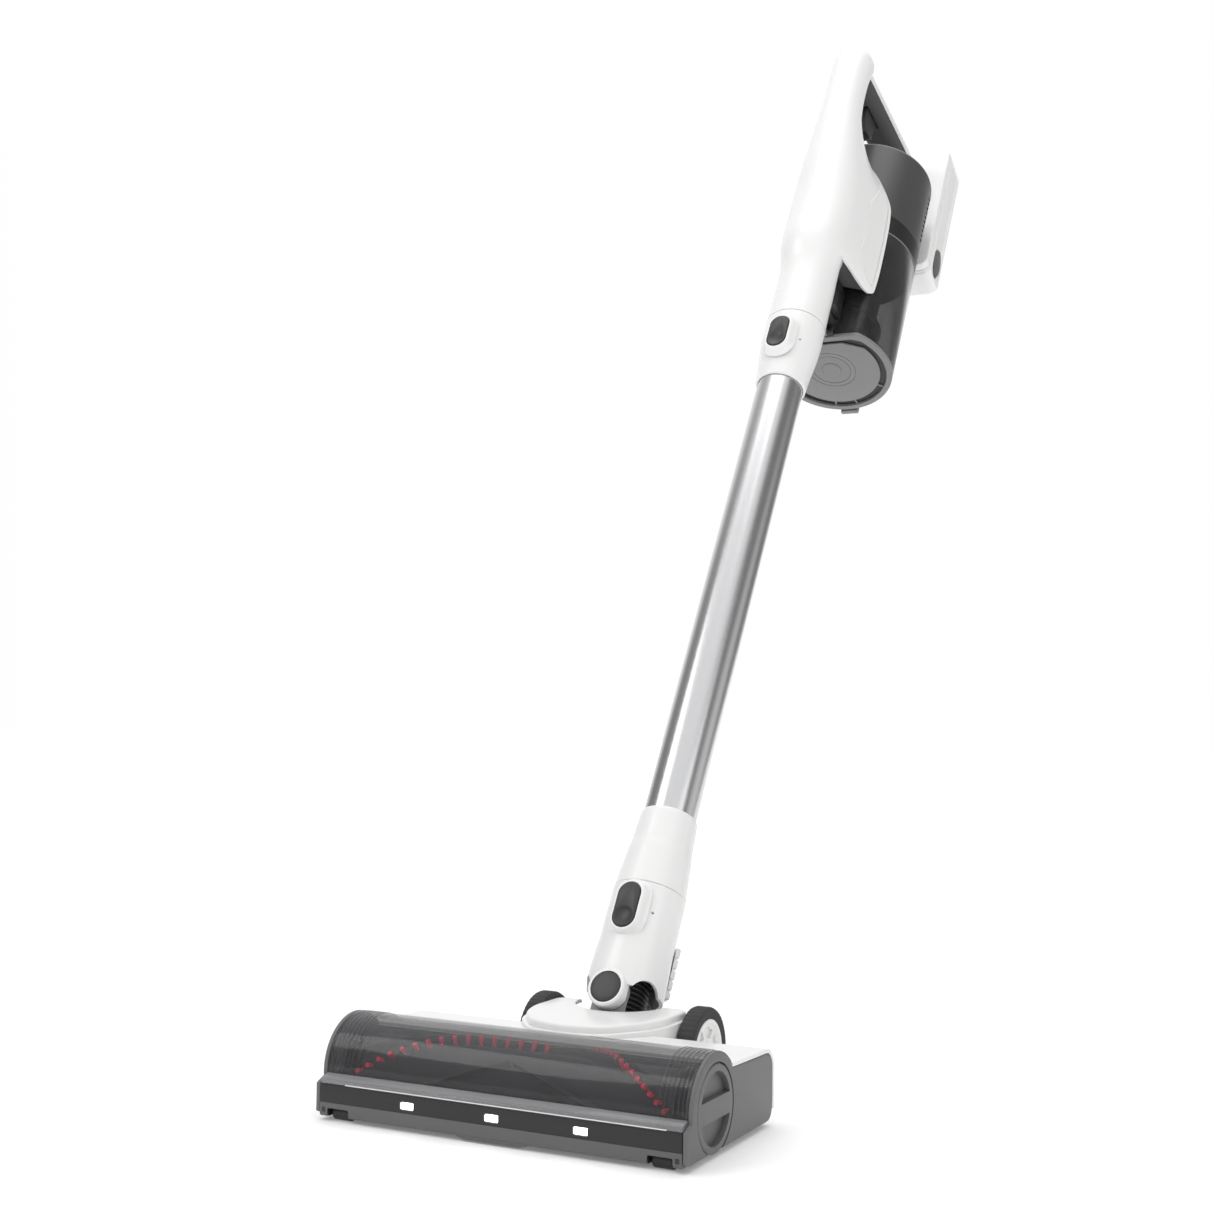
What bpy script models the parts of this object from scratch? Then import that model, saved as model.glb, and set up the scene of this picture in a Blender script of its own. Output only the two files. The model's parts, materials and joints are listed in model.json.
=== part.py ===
"""Cordless stick vacuum: floor head, tilting and swivelling neck, wand and hand unit.

Two frames are used. The head frame has its Y and Z origin on the floor below the tilt hinge,
with the head's front facing -Y. The wand frame leans back by LEAN about the swivel pivot:
its Z runs up the wand and its Y points to the wand's underside, away from the front.
"""

import math

import bmesh
import bpy
from mathutils import Matrix, Vector

MM = 0.001
GAP = 0.3 * MM                       # clearance between touching pieces
RUN_GAP = 0.5 * MM                   # clearance of pieces that move on each other

# Stance
LEAN = math.radians(31.4)            # wand leans back from vertical
WHEEL_RADIUS = 30.3 * MM
PIVOT_RISE = 27.1 * MM               # swivel pivot above the tilt hinge

# Floor head
HEAD_WIDTH = 256 * MM
HEAD_DEPTH = 132 * MM
HEAD_TO_HINGE = 41 * MM              # rear wall of the head to the tilt hinge
HEAD_REAR_HEIGHT = 49 * MM
SOLE_CLEARANCE = 3 * MM
SOLE_THICKNESS = 3.5 * MM
BAR_HEIGHT = 23 * MM                 # dark front bar
BAR_DEPTH = 9 * MM
LIP_HEIGHT = 10 * MM
ROLL_RADIUS = 26.6 * MM              # over the tufts
ROLL_CORE_RADIUS = 20 * MM
ROLL_HEIGHT = 28.7 * MM
ROLL_SETBACK = 40 * MM               # roll axis behind the head's front
ROLL_TUFT_ROWS = 4
ROLL_TWIST = math.radians(100)       # half of the V-shaped tuft rows
ROLL_SHAFT_RADIUS = 4 * MM
CHAMBER_RADIUS = 29.6 * MM
WINDOW_RADIUS = 32.9 * MM
WINDOW_WALL = 2 * MM
WINDOW_REAR_ANGLE = math.radians(42)
SIDE_PANEL = 3 * MM
CHASSIS_WALL = 4 * MM
COVER_WALL = 2.4 * MM
COVER_CORNER = 10 * MM
END_CAP_RADIUS = 26.2 * MM
END_CAP_DEPTH = 8 * MM
DUCT_WIDTH = 32 * MM
DUCT_HEIGHT = 22 * MM
ROLL_PULLEY_RADIUS = 14 * MM
MOTOR_PULLEY_RADIUS = 6 * MM
BELT_WIDTH = 5 * MM
BELT_THICKNESS = 1.2 * MM
BRUSH_MOTOR_RADIUS = 15 * MM
BRUSH_MOTOR_LENGTH = 52 * MM
ROLLER_RADIUS = 5.2 * MM
ROLLER_WIDTH = 14 * MM
ROLLER_INSET = 17 * MM               # roller centre from the head's side
ROLLER_SETBACK = 8 * MM
LED_SPACING = 60 * MM
LED_WIDTH = 9 * MM
LED_HEIGHT = 4 * MM
LED_COUNT = 3
LED_CENTRE = 16 * MM                 # height of the lenses

# Cowl over the tilt barrel
COWL_TOP = 57.5 * MM
COWL_HALF_WIDTH = 50 * MM
COWL_FRONT_HALF_WIDTH = 26 * MM
COWL_LENGTH = 86 * MM
COWL_WALL = 3 * MM
COWL_SKIRT = 40 * MM                 # height of the cowl's lower edge
NECK_ROOM = 32 * MM                  # radius of the cowl's opening for the neck

# Wheels and tilt barrel
WHEEL_WIDTH = 12.7 * MM
WHEEL_INNER_FACE = 53 * MM
HUB_RADIUS = 23 * MM
WHEEL_AXLE_RADIUS = 3 * MM
ARM_INNER_FACE = 43.5 * MM
ARM_THICKNESS = 7 * MM
ARM_RADIUS = 12 * MM
JOURNAL_RADIUS = 8 * MM
JOURNAL_LENGTH = 8 * MM
BARREL_RADIUS = 13 * MM
EAR_RADIUS = 12.6 * MM
EAR_OUTER = 20.2 * MM
EAR_INNER = 16.2 * MM
HOSE_RADIUS = 15 * MM
HOSE_WALL = 1.8 * MM
SWIVEL_PIN_RADIUS = 4 * MM

# Neck
NECK_WALL = 2.6 * MM
NECK_PROFILE = ((5, 27.6), (25, 27.4), (42, 26.2), (70, 26.5), (81, 26.2))
COLLAR_PROFILE = ((81.3, 26.0), (101, 24.3), (114, 23.3), (117.5, 22.4), (134, 21.6), (143, 20.9))
BOSS_RADIUS = 13.6 * MM
BOSS_FRONT = 29.5 * MM
SWIVEL_CAP_RADIUS = 10.9 * MM
NOTCH_RADIUS = 11.5 * MM
NOTCH_CENTRE = 4 * MM

# Wand
WAND_RADIUS = 19.5 * MM
WAND_WALL = 1.2 * MM
WAND_START = 100 * MM
WAND_END = 610 * MM
WAND_LINER = 2.2 * MM

# Release buttons on the neck and on the hand unit
NECK_COVER_INNER = 27.9 * MM        # slotted cover behind the neck, as a part of a ring
NECK_COVER_OUTER = 31.6 * MM
NECK_COVER_EDGE = math.radians(38)
NECK_COVER_SPAN = (13 * MM, 51 * MM)
BUTTON_HALF_LENGTH = 17 * MM
BUTTON_HALF_WIDTH = 8.5 * MM
BUTTON_TRAVEL = 2.5 * MM
BUTTON_HEIGHT = 8 * MM
BEZEL_RIM = 3.6 * MM
NECK_BUTTON = 60.2 * MM
NECK_BUTTON_FACE = 31.5 * MM
SOCKET_BUTTON = 596 * MM
SOCKET_BUTTON_FACE = 32 * MM

# Hand unit spine
SOCKET_SEAM = 626 * MM
SOCKET_PROFILE = ((557, 21.4), (575, 22.8), (590, 24.6), (604, 25.7), (625.7, 25.9))
# height, radius and offset towards the underside of the spine's round sections, in millimetres
SPINE_SECTIONS = ((626, 25.9, 0), (650, 25.5, 0), (690, 26.1, 0), (704, 29.6, 0), (718, 31.4, 0),
                  (760, 31.2, -1),
                  (790, 30.2, -3.5), (811, 28.4, -7.5), (841, 23.9, -13), (871, 20.7, -17.5),
                  (888, 19.3, -19.5),
                  (904, 18.6, -21), (930, 18.6, -21), (944, 19.4, -19.5), (952, 19.9, -18.2),
                  (957, 18.6, -18.2),
                  (961, 15.5, -18.5), (963.5, 9.0, -19))
SPINE_WALL = 3.2 * MM
BOARD_WIDTH = 46 * MM
BOARD_LENGTH = 56 * MM
BOARD_LOW = 732 * MM
DUCT_RADIUS = 17.5 * MM
INLET_HEIGHT = 683 * MM
INLET_RADIUS = 12 * MM

# Cyclone and motor cylinder behind the spine
CYLINDER_OFFSET = 90.5 * MM
CYLINDER_RADIUS = 55.9 * MM
CUP_BOTTOM = 663.5 * MM
CUP_TOP = 793 * MM
COLLAR_TOP = 815 * MM
MOTOR_TOP = 903 * MM
CUP_FLAT = 47.5 * MM                 # flat of the cup, from the wand axis
CUP_WALL = 2 * MM
MOTOR_WALL = 2.6 * MM
OUTLET_RADIUS = 6 * MM
LID_THICKNESS = 4.5 * MM
LID_HINGE_RADIUS = 3 * MM
LID_PIN_RADIUS = 1.4 * MM
SHROUD_RADIUS = 30 * MM
SHROUD_WALL = 2 * MM
SHROUD_LENGTH = 78 * MM
CONE_RADIUS = 22 * MM
FILTER_THICKNESS = 16 * MM
MOTOR_RADIUS = 27 * MM
MOTOR_LENGTH = 34 * MM
MOTOR_SHAFT_RADIUS = 2.5 * MM
IMPELLER_RADIUS = 25 * MM
IMPELLER_HEIGHT = 8 * MM
IMPELLER_BLADES = 6
VENT_COUNT = 6

# Cheeks that wrap the cylinder's front
CHEEK_WALL = 3 * MM
CHEEK_OUTLINE = ((0, 878), (5, 876), (13, 866), (20, 857), (27, 847), (33, 839), (38, 829), (41, 816),
                 (42.5, 790),
                 (42.7, 740), (41.5, 722), (38.5, 709), (34, 706), (29, 709), (22, 720), (15, 724.5),
                 (0, 726))

# Grip, trigger and battery
GRIP_WIDTH = 28 * MM
GRIP_DEPTH = 29 * MM
GRIP_FRONT = -8 * MM                 # where the grip starts inside the spine, from the wand axis
GRIP_FRONT_HEIGHT = 942.7 * MM
GRIP_REAR_HEIGHT = 980 * MM
GRIP_BACK_SHARE = 10 * MM            # thickness of the hard back of the grip
GRIP_CORNER = 4.5 * MM
TRIGGER_FRONT = 18 * MM
TRIGGER_LENGTH = 32 * MM
TRIGGER_WIDTH = 13 * MM
TRIGGER_LOW = 910 * MM
TRIGGER_TOP = 944 * MM
TRIGGER_PIVOT = (24 * MM, 940 * MM)  # towards the underside, and height
BATTERY_WIDTH = 94 * MM
BATTERY_BOTTOM = 846 * MM
BATTERY_TOP = 1014 * MM
DOCK_FACE = 147 * MM
DOCK_THICKNESS = 9 * MM
BATTERY_BACK = 191 * MM
BATTERY_CORNER = 9 * MM
BATTERY_WALL = 2.5 * MM
CELL_RADIUS = 9.2 * MM
CELL_LENGTH = 65 * MM
CELL_COLUMNS = 4
CELL_ROWS = 2
PACK_BUTTON_HEIGHT = 17 * MM
PACK_BUTTON_LENGTH = 33 * MM

PIVOT_HEIGHT = WHEEL_RADIUS + PIVOT_RISE
HEAD_FRONT_Y = -(HEAD_TO_HINGE + HEAD_DEPTH)
HEAD_REAR_Y = -HEAD_TO_HINGE
ROLL_Y = HEAD_FRONT_Y + ROLL_SETBACK
ROLL_AXIS = Vector((0, ROLL_Y, ROLL_HEIGHT))
HINGE = Vector((0, 0, WHEEL_RADIUS))
BODY_HALF = HEAD_WIDTH / 2 - SIDE_PANEL

X, Y, Z = Vector((1, 0, 0)), Vector((0, 1, 0)), Vector((0, 0, 1))


# ---------------------------------------------------------------- tools

def clear_scene():
    """Remove every object, so that only the model is built."""
    for thing in list(bpy.data.objects):
        bpy.data.objects.remove(thing, do_unlink=True)


def material(name, colour, roughness, metallic=0.0, alpha=1.0):
    """A Principled material in a plain colour."""
    made = bpy.data.materials.new(name)
    made.use_nodes = True
    shader = made.node_tree.nodes["Principled BSDF"]
    shader.inputs["Base Color"].default_value = (*colour, 1)
    shader.inputs["Roughness"].default_value = roughness
    shader.inputs["Metallic"].default_value = metallic
    shader.inputs["Alpha"].default_value = alpha
    return made


def empty(name, location=(0, 0, 0), rotation=(0, 0, 0), parent=None):
    """An empty that carries a frame."""
    made = bpy.data.objects.new(name, None)
    made.location = location
    made.rotation_euler = rotation
    made.parent = parent
    bpy.context.collection.objects.link(made)
    return made


def finish_mesh(name, mesh, frame, finish):
    """Turn a bmesh into an object of the frame, facing outwards and shaded smooth."""
    bmesh.ops.remove_doubles(mesh, verts=mesh.verts, dist=1e-6)
    bmesh.ops.recalc_face_normals(mesh, faces=mesh.faces)
    data = bpy.data.meshes.new(name)
    mesh.to_mesh(data)
    mesh.free()
    made = bpy.data.objects.new(name, data)
    made.parent = frame
    bpy.context.collection.objects.link(made)
    if finish is not None:
        data.materials.append(finish)
    data.shade_smooth()
    data.set_sharp_from_angle(angle=math.radians(35))
    return made


def turn_to(axis):
    """Rotation that turns +Z to the axis."""
    return Z.rotation_difference(Vector(axis)).to_matrix().to_4x4()


def turned(name, outline, frame, finish=None, at=(0, 0, 0), axis=Z, segments=20):
    """Spin an outline of (radius, height) points about an axis; ends on the axis close the solid."""
    mesh = bmesh.new()
    points = [mesh.verts.new((radius, 0, height)) for radius, height in outline]
    closed = all(radius > 1e-7 for radius, _ in outline)
    pairs = list(zip(points, points[1:]))
    if closed:
        pairs.append((points[-1], points[0]))
    edges = [mesh.edges.new(pair) for pair in pairs]
    bmesh.ops.spin(mesh, geom=points + edges, cent=(0, 0, 0), axis=(0, 0, 1), angle=math.tau,
                   steps=segments, use_merge=True)
    bmesh.ops.remove_doubles(mesh, verts=mesh.verts, dist=1e-6)
    bmesh.ops.transform(mesh, matrix=Matrix.Translation(at) @ turn_to(axis), verts=mesh.verts)
    return finish_mesh(name, mesh, frame, finish)


def cylinder(name, radius, start, end, frame, finish=None, at=(0, 0, 0), axis=Z, segments=24):
    """A solid cylinder along the axis, from start to end."""
    mesh = bmesh.new()
    bmesh.ops.create_cone(mesh, cap_ends=True, segments=segments, radius1=radius, radius2=radius,
                          depth=end - start)
    bmesh.ops.translate(mesh, vec=(0, 0, (start + end) / 2), verts=mesh.verts)
    bmesh.ops.transform(mesh, matrix=Matrix.Translation(at) @ turn_to(axis), verts=mesh.verts)
    return finish_mesh(name, mesh, frame, finish)


def tube(name, outer, inner, start, end, frame, finish=None, at=(0, 0, 0), axis=Z, segments=24):
    """A straight tube along the axis."""
    outline = ((inner, start), (outer, start), (outer, end), (inner, end))
    return turned(name, outline, frame, finish, at, axis, segments)


def block(name, low, high, frame, finish=None, bevel=0.0, segments=2):
    """A box between two corners, with its edges rounded when bevel is given."""
    mesh = bmesh.new()
    bmesh.ops.create_cube(mesh, size=1)
    size = [high[i] - low[i] for i in range(3)]
    centre = [(high[i] + low[i]) / 2 for i in range(3)]
    bmesh.ops.scale(mesh, vec=size, verts=mesh.verts)
    bmesh.ops.translate(mesh, vec=centre, verts=mesh.verts)
    if bevel:
        bmesh.ops.bevel(mesh, geom=mesh.edges[:], offset=bevel, segments=segments, profile=0.5,
                        affect="EDGES", material=-1, clamp_overlap=True)
    return finish_mesh(name, mesh, frame, finish)


def prism(name, outline, start, end, frame, finish=None, along="X", bevel=0.0):
    """Extrude a closed outline along X (points are y, z), Y (x, z) or Z (x, y)."""
    place = {"X": lambda a, b: (start, a, b), "Y": lambda a, b: (a, start, b),
             "Z": lambda a, b: (a, b, start)}[along]
    step = {"X": X, "Y": Y, "Z": Z}[along] * (end - start)
    mesh = bmesh.new()
    face = mesh.faces.new([mesh.verts.new(place(a, b)) for a, b in outline])
    extruded = bmesh.ops.extrude_face_region(mesh, geom=[face])
    moved = [item for item in extruded["geom"] if isinstance(item, bmesh.types.BMVert)]
    bmesh.ops.translate(mesh, vec=step, verts=moved)
    if bevel:
        rims = [edge for edge in mesh.edges if abs((edge.verts[0].co - edge.verts[1].co).dot(step)) < 1e-12]
        bmesh.ops.bevel(mesh, geom=rims, offset=bevel, segments=2, profile=0.5, affect="EDGES",
                        material=-1, clamp_overlap=True)
    return finish_mesh(name, mesh, frame, finish)


def combine(target, tool, operation="DIFFERENCE"):
    """Apply a Boolean of the tool to the target and remove the tool."""
    modifier = target.modifiers.new("boolean", "BOOLEAN")
    modifier.operation = operation
    modifier.object = tool
    modifier.solver = "EXACT"
    bpy.context.view_layer.update()
    graph = bpy.context.evaluated_depsgraph_get()
    result = bpy.data.meshes.new_from_object(target.evaluated_get(graph))
    target.modifiers.clear()
    kept = list(target.data.materials)
    mesh = bmesh.new()
    mesh.from_mesh(result)
    bmesh.ops.dissolve_limit(mesh, angle_limit=math.radians(0.05), verts=mesh.verts, edges=mesh.edges)
    bmesh.ops.triangulate(mesh, faces=[face for face in mesh.faces if len(face.verts) > 4])
    bmesh.ops.remove_doubles(mesh, verts=mesh.verts, dist=2e-6)
    bmesh.ops.dissolve_degenerate(mesh, edges=mesh.edges, dist=2e-6)
    mesh.to_mesh(result)
    mesh.free()
    result.materials.clear()
    for item in kept:
        result.materials.append(item)
    for polygon in result.polygons:
        polygon.material_index = 0
    target.data = result
    result.shade_smooth()
    result.set_sharp_from_angle(angle=math.radians(35))
    bpy.data.objects.remove(tool, do_unlink=True)
    return target


def cut(target, *tools):
    """Cut each tool away from the target."""
    for tool in tools:
        combine(target, tool)
    return target


def join(target, *tools):
    """Unite each tool with the target."""
    for tool in tools:
        combine(target, tool, "UNION")
    return target


def set_origin(thing, point):
    """Move the object's origin to a point of its frame, leaving its shape in place."""
    point = Vector(point)
    thing.data.transform(Matrix.Translation(-point))
    thing.location = point
    return thing


def arc(centre, radius, start, end, steps):
    """Points of an arc, from angle start to angle end, in a plane."""
    return [(centre[0] + radius * math.cos(start + (end - start) * i / steps),
             centre[1] + radius * math.sin(start + (end - start) * i / steps)) for i in range(steps + 1)]


def stadium(half_length, half_width, steps=8, centre=(0, 0)):
    """Outline of a slot with round ends, long in its second direction."""
    straight = half_length - half_width
    top = arc((centre[0], centre[1] + straight), half_width, 0, math.pi, steps)
    bottom = arc((centre[0], centre[1] - straight), half_width, math.pi, math.tau, steps)
    return top + bottom


def rounded(low, high, radius, steps=4):
    """Outline of a rectangle with round corners."""
    corners = ((high[0] - radius, high[1] - radius, 0), (low[0] + radius, high[1] - radius, 1),
               (low[0] + radius, low[1] + radius, 2), (high[0] - radius, low[1] + radius, 3))
    outline = []
    for a, b, quarter in corners:
        outline += arc((a, b), radius, quarter * math.pi / 2, (quarter + 1) * math.pi / 2, steps)
    return outline


def at_mm(profile):
    """A profile of (height, radius) in millimetres as (radius, height) in metres."""
    return [(radius * MM, height * MM) for height, radius in profile]


# ---------------------------------------------------------------- floor head

def head_chassis(frame, finish):
    """Moulded base: front bar, brush chamber, rear compartment and the two hinge arms."""
    low = SOLE_CLEARANCE + SOLE_THICKNESS + GAP
    top = HEAD_REAR_HEIGHT - COVER_WALL - GAP
    rear = HEAD_REAR_Y - COVER_WALL - GAP
    junction = ROLL_Y + (WINDOW_RADIUS - WINDOW_WALL) * math.cos(WINDOW_REAR_ANGLE)
    outline = [(HEAD_FRONT_Y, LIP_HEIGHT + GAP), (HEAD_FRONT_Y, BAR_HEIGHT),
               (HEAD_FRONT_Y + BAR_DEPTH, BAR_HEIGHT),
               (junction + 1 * MM, top), (rear - COVER_CORNER, top), (rear, top - COVER_CORNER), (rear, low),
               (HEAD_FRONT_Y + BAR_DEPTH, low), (HEAD_FRONT_Y + BAR_DEPTH, LIP_HEIGHT + GAP)]
    base = prism("head_chassis", outline, -BODY_HALF + GAP, BODY_HALF - GAP, frame, finish)
    chamber_half = BODY_HALF - 2 * CHASSIS_WALL - BELT_WIDTH
    front_half = chamber_half + 2 * CHASSIS_WALL + BELT_WIDTH + 2 * MM
    # above the bar everything ahead of the chamber's rear wall is left to the window
    cut(base, cylinder("chamber", CHAMBER_RADIUS, -chamber_half, chamber_half, frame, at=ROLL_AXIS, axis=X,
                       segments=32))
    clear_low = BAR_HEIGHT + GAP
    cut(base, block("window_room", (-chamber_half, HEAD_FRONT_Y - 1 * MM, clear_low),
                    (chamber_half, ROLL_Y + 12 * MM, top + 9 * MM), frame))
    skin = prism("skin", [(HEAD_FRONT_Y - 2 * MM, clear_low)] + arc((ROLL_Y, ROLL_HEIGHT),
                                                                    WINDOW_RADIUS - WINDOW_WALL - GAP,
                 math.pi, WINDOW_REAR_ANGLE, 14) + [(junction, top + 12 * MM),
                                                    (HEAD_FRONT_Y - 2 * MM, top + 12 * MM)],
                 -front_half, front_half, frame)
    cut(base, skin)
    inner = chamber_half - 1 * MM
    duct = DUCT_WIDTH / 2
    back_wall = ROLL_Y + CHAMBER_RADIUS + CHASSIS_WALL
    floor = low + CHASSIS_WALL
    for side in (-1, 1):
        a, b = sorted((side * (duct + CHASSIS_WALL), side * inner))
        cut(base, block("pocket", (a, back_wall, floor), (b, rear - CHASSIS_WALL, top + 5 * MM), frame))
    cut(base, block("duct", (-duct, ROLL_Y, floor), (duct, rear + 5 * MM, floor + DUCT_HEIGHT), frame))
    # belt bay at the left end, open to the side panel
    bay = arc((ROLL_Y, ROLL_HEIGHT), ROLL_PULLEY_RADIUS + 4 * MM, 0, math.tau, 20)[:-1]
    motor_y = brush_motor_y()
    cut(base, prism("bay", bay, -BODY_HALF - 1 * MM, -BODY_HALF + BELT_WIDTH + CHASSIS_WALL, frame))
    cut(base, block("belt_bay", (-BODY_HALF - 1 * MM, ROLL_Y, ROLL_HEIGHT - ROLL_PULLEY_RADIUS - 4 * MM),
                    (-BODY_HALF + BELT_WIDTH + CHASSIS_WALL, motor_y + 11 * MM,
                     ROLL_HEIGHT + ROLL_PULLEY_RADIUS + 3 * MM), frame))
    for side in (-1, 1):
        radius = (ROLL_SHAFT_RADIUS if side < 0 else END_CAP_RADIUS) + RUN_GAP
        a, b = sorted((side * (chamber_half - 1 * MM), side * (BODY_HALF + 1 * MM)))
        cut(base, cylinder("roll_opening", radius, a, b, frame, at=ROLL_AXIS, axis=X, segments=32))
    a, b = -BODY_HALF + BELT_WIDTH, -inner - 1 * MM
    cut(base, cylinder("motor_shaft_hole", 3 * MM, a, b + 6 * MM, frame, at=(0, motor_y, ROLL_HEIGHT),
                       axis=X, segments=12))
    for x in led_places():
        cut(base, block("led_window", (x - LED_WIDTH / 2 - GAP, HEAD_FRONT_Y - 1 * MM,
                                       LED_CENTRE - LED_HEIGHT / 2 - GAP),
                        (x + LED_WIDTH / 2 + GAP, HEAD_FRONT_Y + 4 * MM, LED_CENTRE + LED_HEIGHT / 2 + GAP),
                        frame))
    for side in (-1, 1):
        centre = roller_centre(side)
        a = centre.x - ROLLER_WIDTH / 2 - 0.8 * MM
        b = centre.x + ROLLER_WIDTH / 2 + 0.8 * MM
        cut(base, cylinder("roller_room", ROLLER_RADIUS + RUN_GAP, a, b, frame, at=(0, centre.y, centre.z),
                           axis=X, segments=16))
    end = led_places()[-1] + LED_WIDTH + GAP
    cut(base, block("led_groove", (-end, HEAD_FRONT_Y + 3 * MM, LED_CENTRE - LED_HEIGHT / 2 - GAP),
                    (end, HEAD_FRONT_Y + 5 * MM + GAP, LED_CENTRE + LED_HEIGHT / 2 + GAP), frame))
    return base


def hinge_arms(base, frame):
    """Arms behind the base that carry the tilt barrel's journals and the wheel axles."""
    for side in (-1, 1):
        near = side * ARM_INNER_FACE
        far = side * (ARM_INNER_FACE + ARM_THICKNESS)
        a, b = sorted((near, far))
        arm = cylinder("arm", ARM_RADIUS, a, b, frame, at=HINGE, axis=X)
        join(arm, block("arm_bar", (a, HEAD_REAR_Y - COVER_WALL - GAP - 3 * MM,
                                    WHEEL_RADIUS - ARM_RADIUS * 0.8),
                        (b, 0, WHEEL_RADIUS + ARM_RADIUS * 0.8), frame))
        a, b = sorted((side * (ARM_INNER_FACE - JOURNAL_LENGTH), near + side * 1 * MM))
        join(arm, cylinder("journal", JOURNAL_RADIUS, a, b, frame, at=HINGE, axis=X, segments=20))
        a, b = sorted((side * (ARM_INNER_FACE - JOURNAL_LENGTH - 1 * MM), far + side * 1 * MM))
        cut(arm, cylinder("axle_hole", WHEEL_AXLE_RADIUS + GAP, a, b, frame, at=HINGE, axis=X, segments=12))
        join(base, arm)
    return base


def led_places():
    """X of each headlight in the front bar."""
    return [(i - (LED_COUNT - 1) / 2) * LED_SPACING for i in range(LED_COUNT)]


def brush_motor_y():
    """Y of the brush motor's axis, behind the chamber's wall."""
    return ROLL_Y + CHAMBER_RADIUS + CHASSIS_WALL + BRUSH_MOTOR_RADIUS + 1 * MM


def sole_plate(frame, finish):
    """Light grey sole with the suction mouth, the roller notches and the front lip."""
    rear = HEAD_REAR_Y - COVER_WALL - GAP
    drop, taper = 28 * MM, 9 * MM
    outline = [(HEAD_FRONT_Y, SOLE_CLEARANCE + 2 * MM), (HEAD_FRONT_Y, LIP_HEIGHT),
               (HEAD_FRONT_Y + BAR_DEPTH - GAP, LIP_HEIGHT), (HEAD_FRONT_Y + BAR_DEPTH - GAP,
                                                              SOLE_CLEARANCE + SOLE_THICKNESS),
               (rear, SOLE_CLEARANCE + SOLE_THICKNESS), (rear, SOLE_CLEARANCE),
               (HEAD_FRONT_Y + 2 * MM, SOLE_CLEARANCE)]
    plate = prism("sole_plate", outline, -BODY_HALF + GAP, BODY_HALF - GAP, frame, finish)
    cap_room = block("cap_room", (BODY_HALF - END_CAP_DEPTH - RUN_GAP, ROLL_Y - END_CAP_RADIUS, 0),
                     (BODY_HALF + 1 * MM, ROLL_Y + END_CAP_RADIUS, LIP_HEIGHT), frame)
    cut(plate, cap_room)
    mouth = math.sqrt(CHAMBER_RADIUS ** 2 - (ROLL_HEIGHT - SOLE_CLEARANCE - SOLE_THICKNESS) ** 2) + 4 * MM
    half = BODY_HALF - 2 * CHASSIS_WALL - BELT_WIDTH
    cut(plate, block("mouth", (-half, ROLL_Y - mouth, 0), (half, ROLL_Y + mouth, LIP_HEIGHT), frame))
    centre_drop = prism("centre_drop", [(-drop, SOLE_CLEARANCE + 1 * MM), (drop, SOLE_CLEARANCE + 1 * MM),
                        (drop - taper, SOLE_CLEARANCE - 1.5 * MM), (taper - drop, SOLE_CLEARANCE - 1.5 * MM)],
                        HEAD_FRONT_Y + 0.6 * MM, HEAD_FRONT_Y + 4 * MM, frame, along="Y")
    join(plate, centre_drop)
    for side in (-1, 1):
        centre = side * (HEAD_WIDTH / 2 - ROLLER_INSET)
        room = ROLLER_WIDTH / 2 + 0.8 * MM
        cut(plate, block("roller_room", (centre - room, HEAD_FRONT_Y + 1.6 * MM, 0),
                         (centre + room, HEAD_FRONT_Y + ROLLER_SETBACK + ROLLER_RADIUS + 1 * MM, BAR_HEIGHT),
                         frame))
        cut(plate, block("roller_notch", (centre - room, HEAD_FRONT_Y - 1 * MM, 0),
                         (centre + room, HEAD_FRONT_Y + 2 * MM, LIP_HEIGHT - 1.6 * MM), frame))
    return plate


def roller_centre(side):
    """Centre of a front roller."""
    return Vector((side * (HEAD_WIDTH / 2 - ROLLER_INSET), HEAD_FRONT_Y + ROLLER_SETBACK, ROLLER_RADIUS))


def front_roller(name, side, frame, finish):
    """Small roller near a front corner, turning on its own stub pins."""
    centre = roller_centre(side)
    half = ROLLER_WIDTH / 2
    outline = ((0, -half), (ROLLER_RADIUS - 1 * MM, -half), (ROLLER_RADIUS, -half + 1 * MM),
               (ROLLER_RADIUS, half - 1 * MM), (ROLLER_RADIUS - 1 * MM, half), (0, half))
    made = turned(name, outline, frame, finish, centre, X, 16)
    return set_origin(made, centre)


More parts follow.
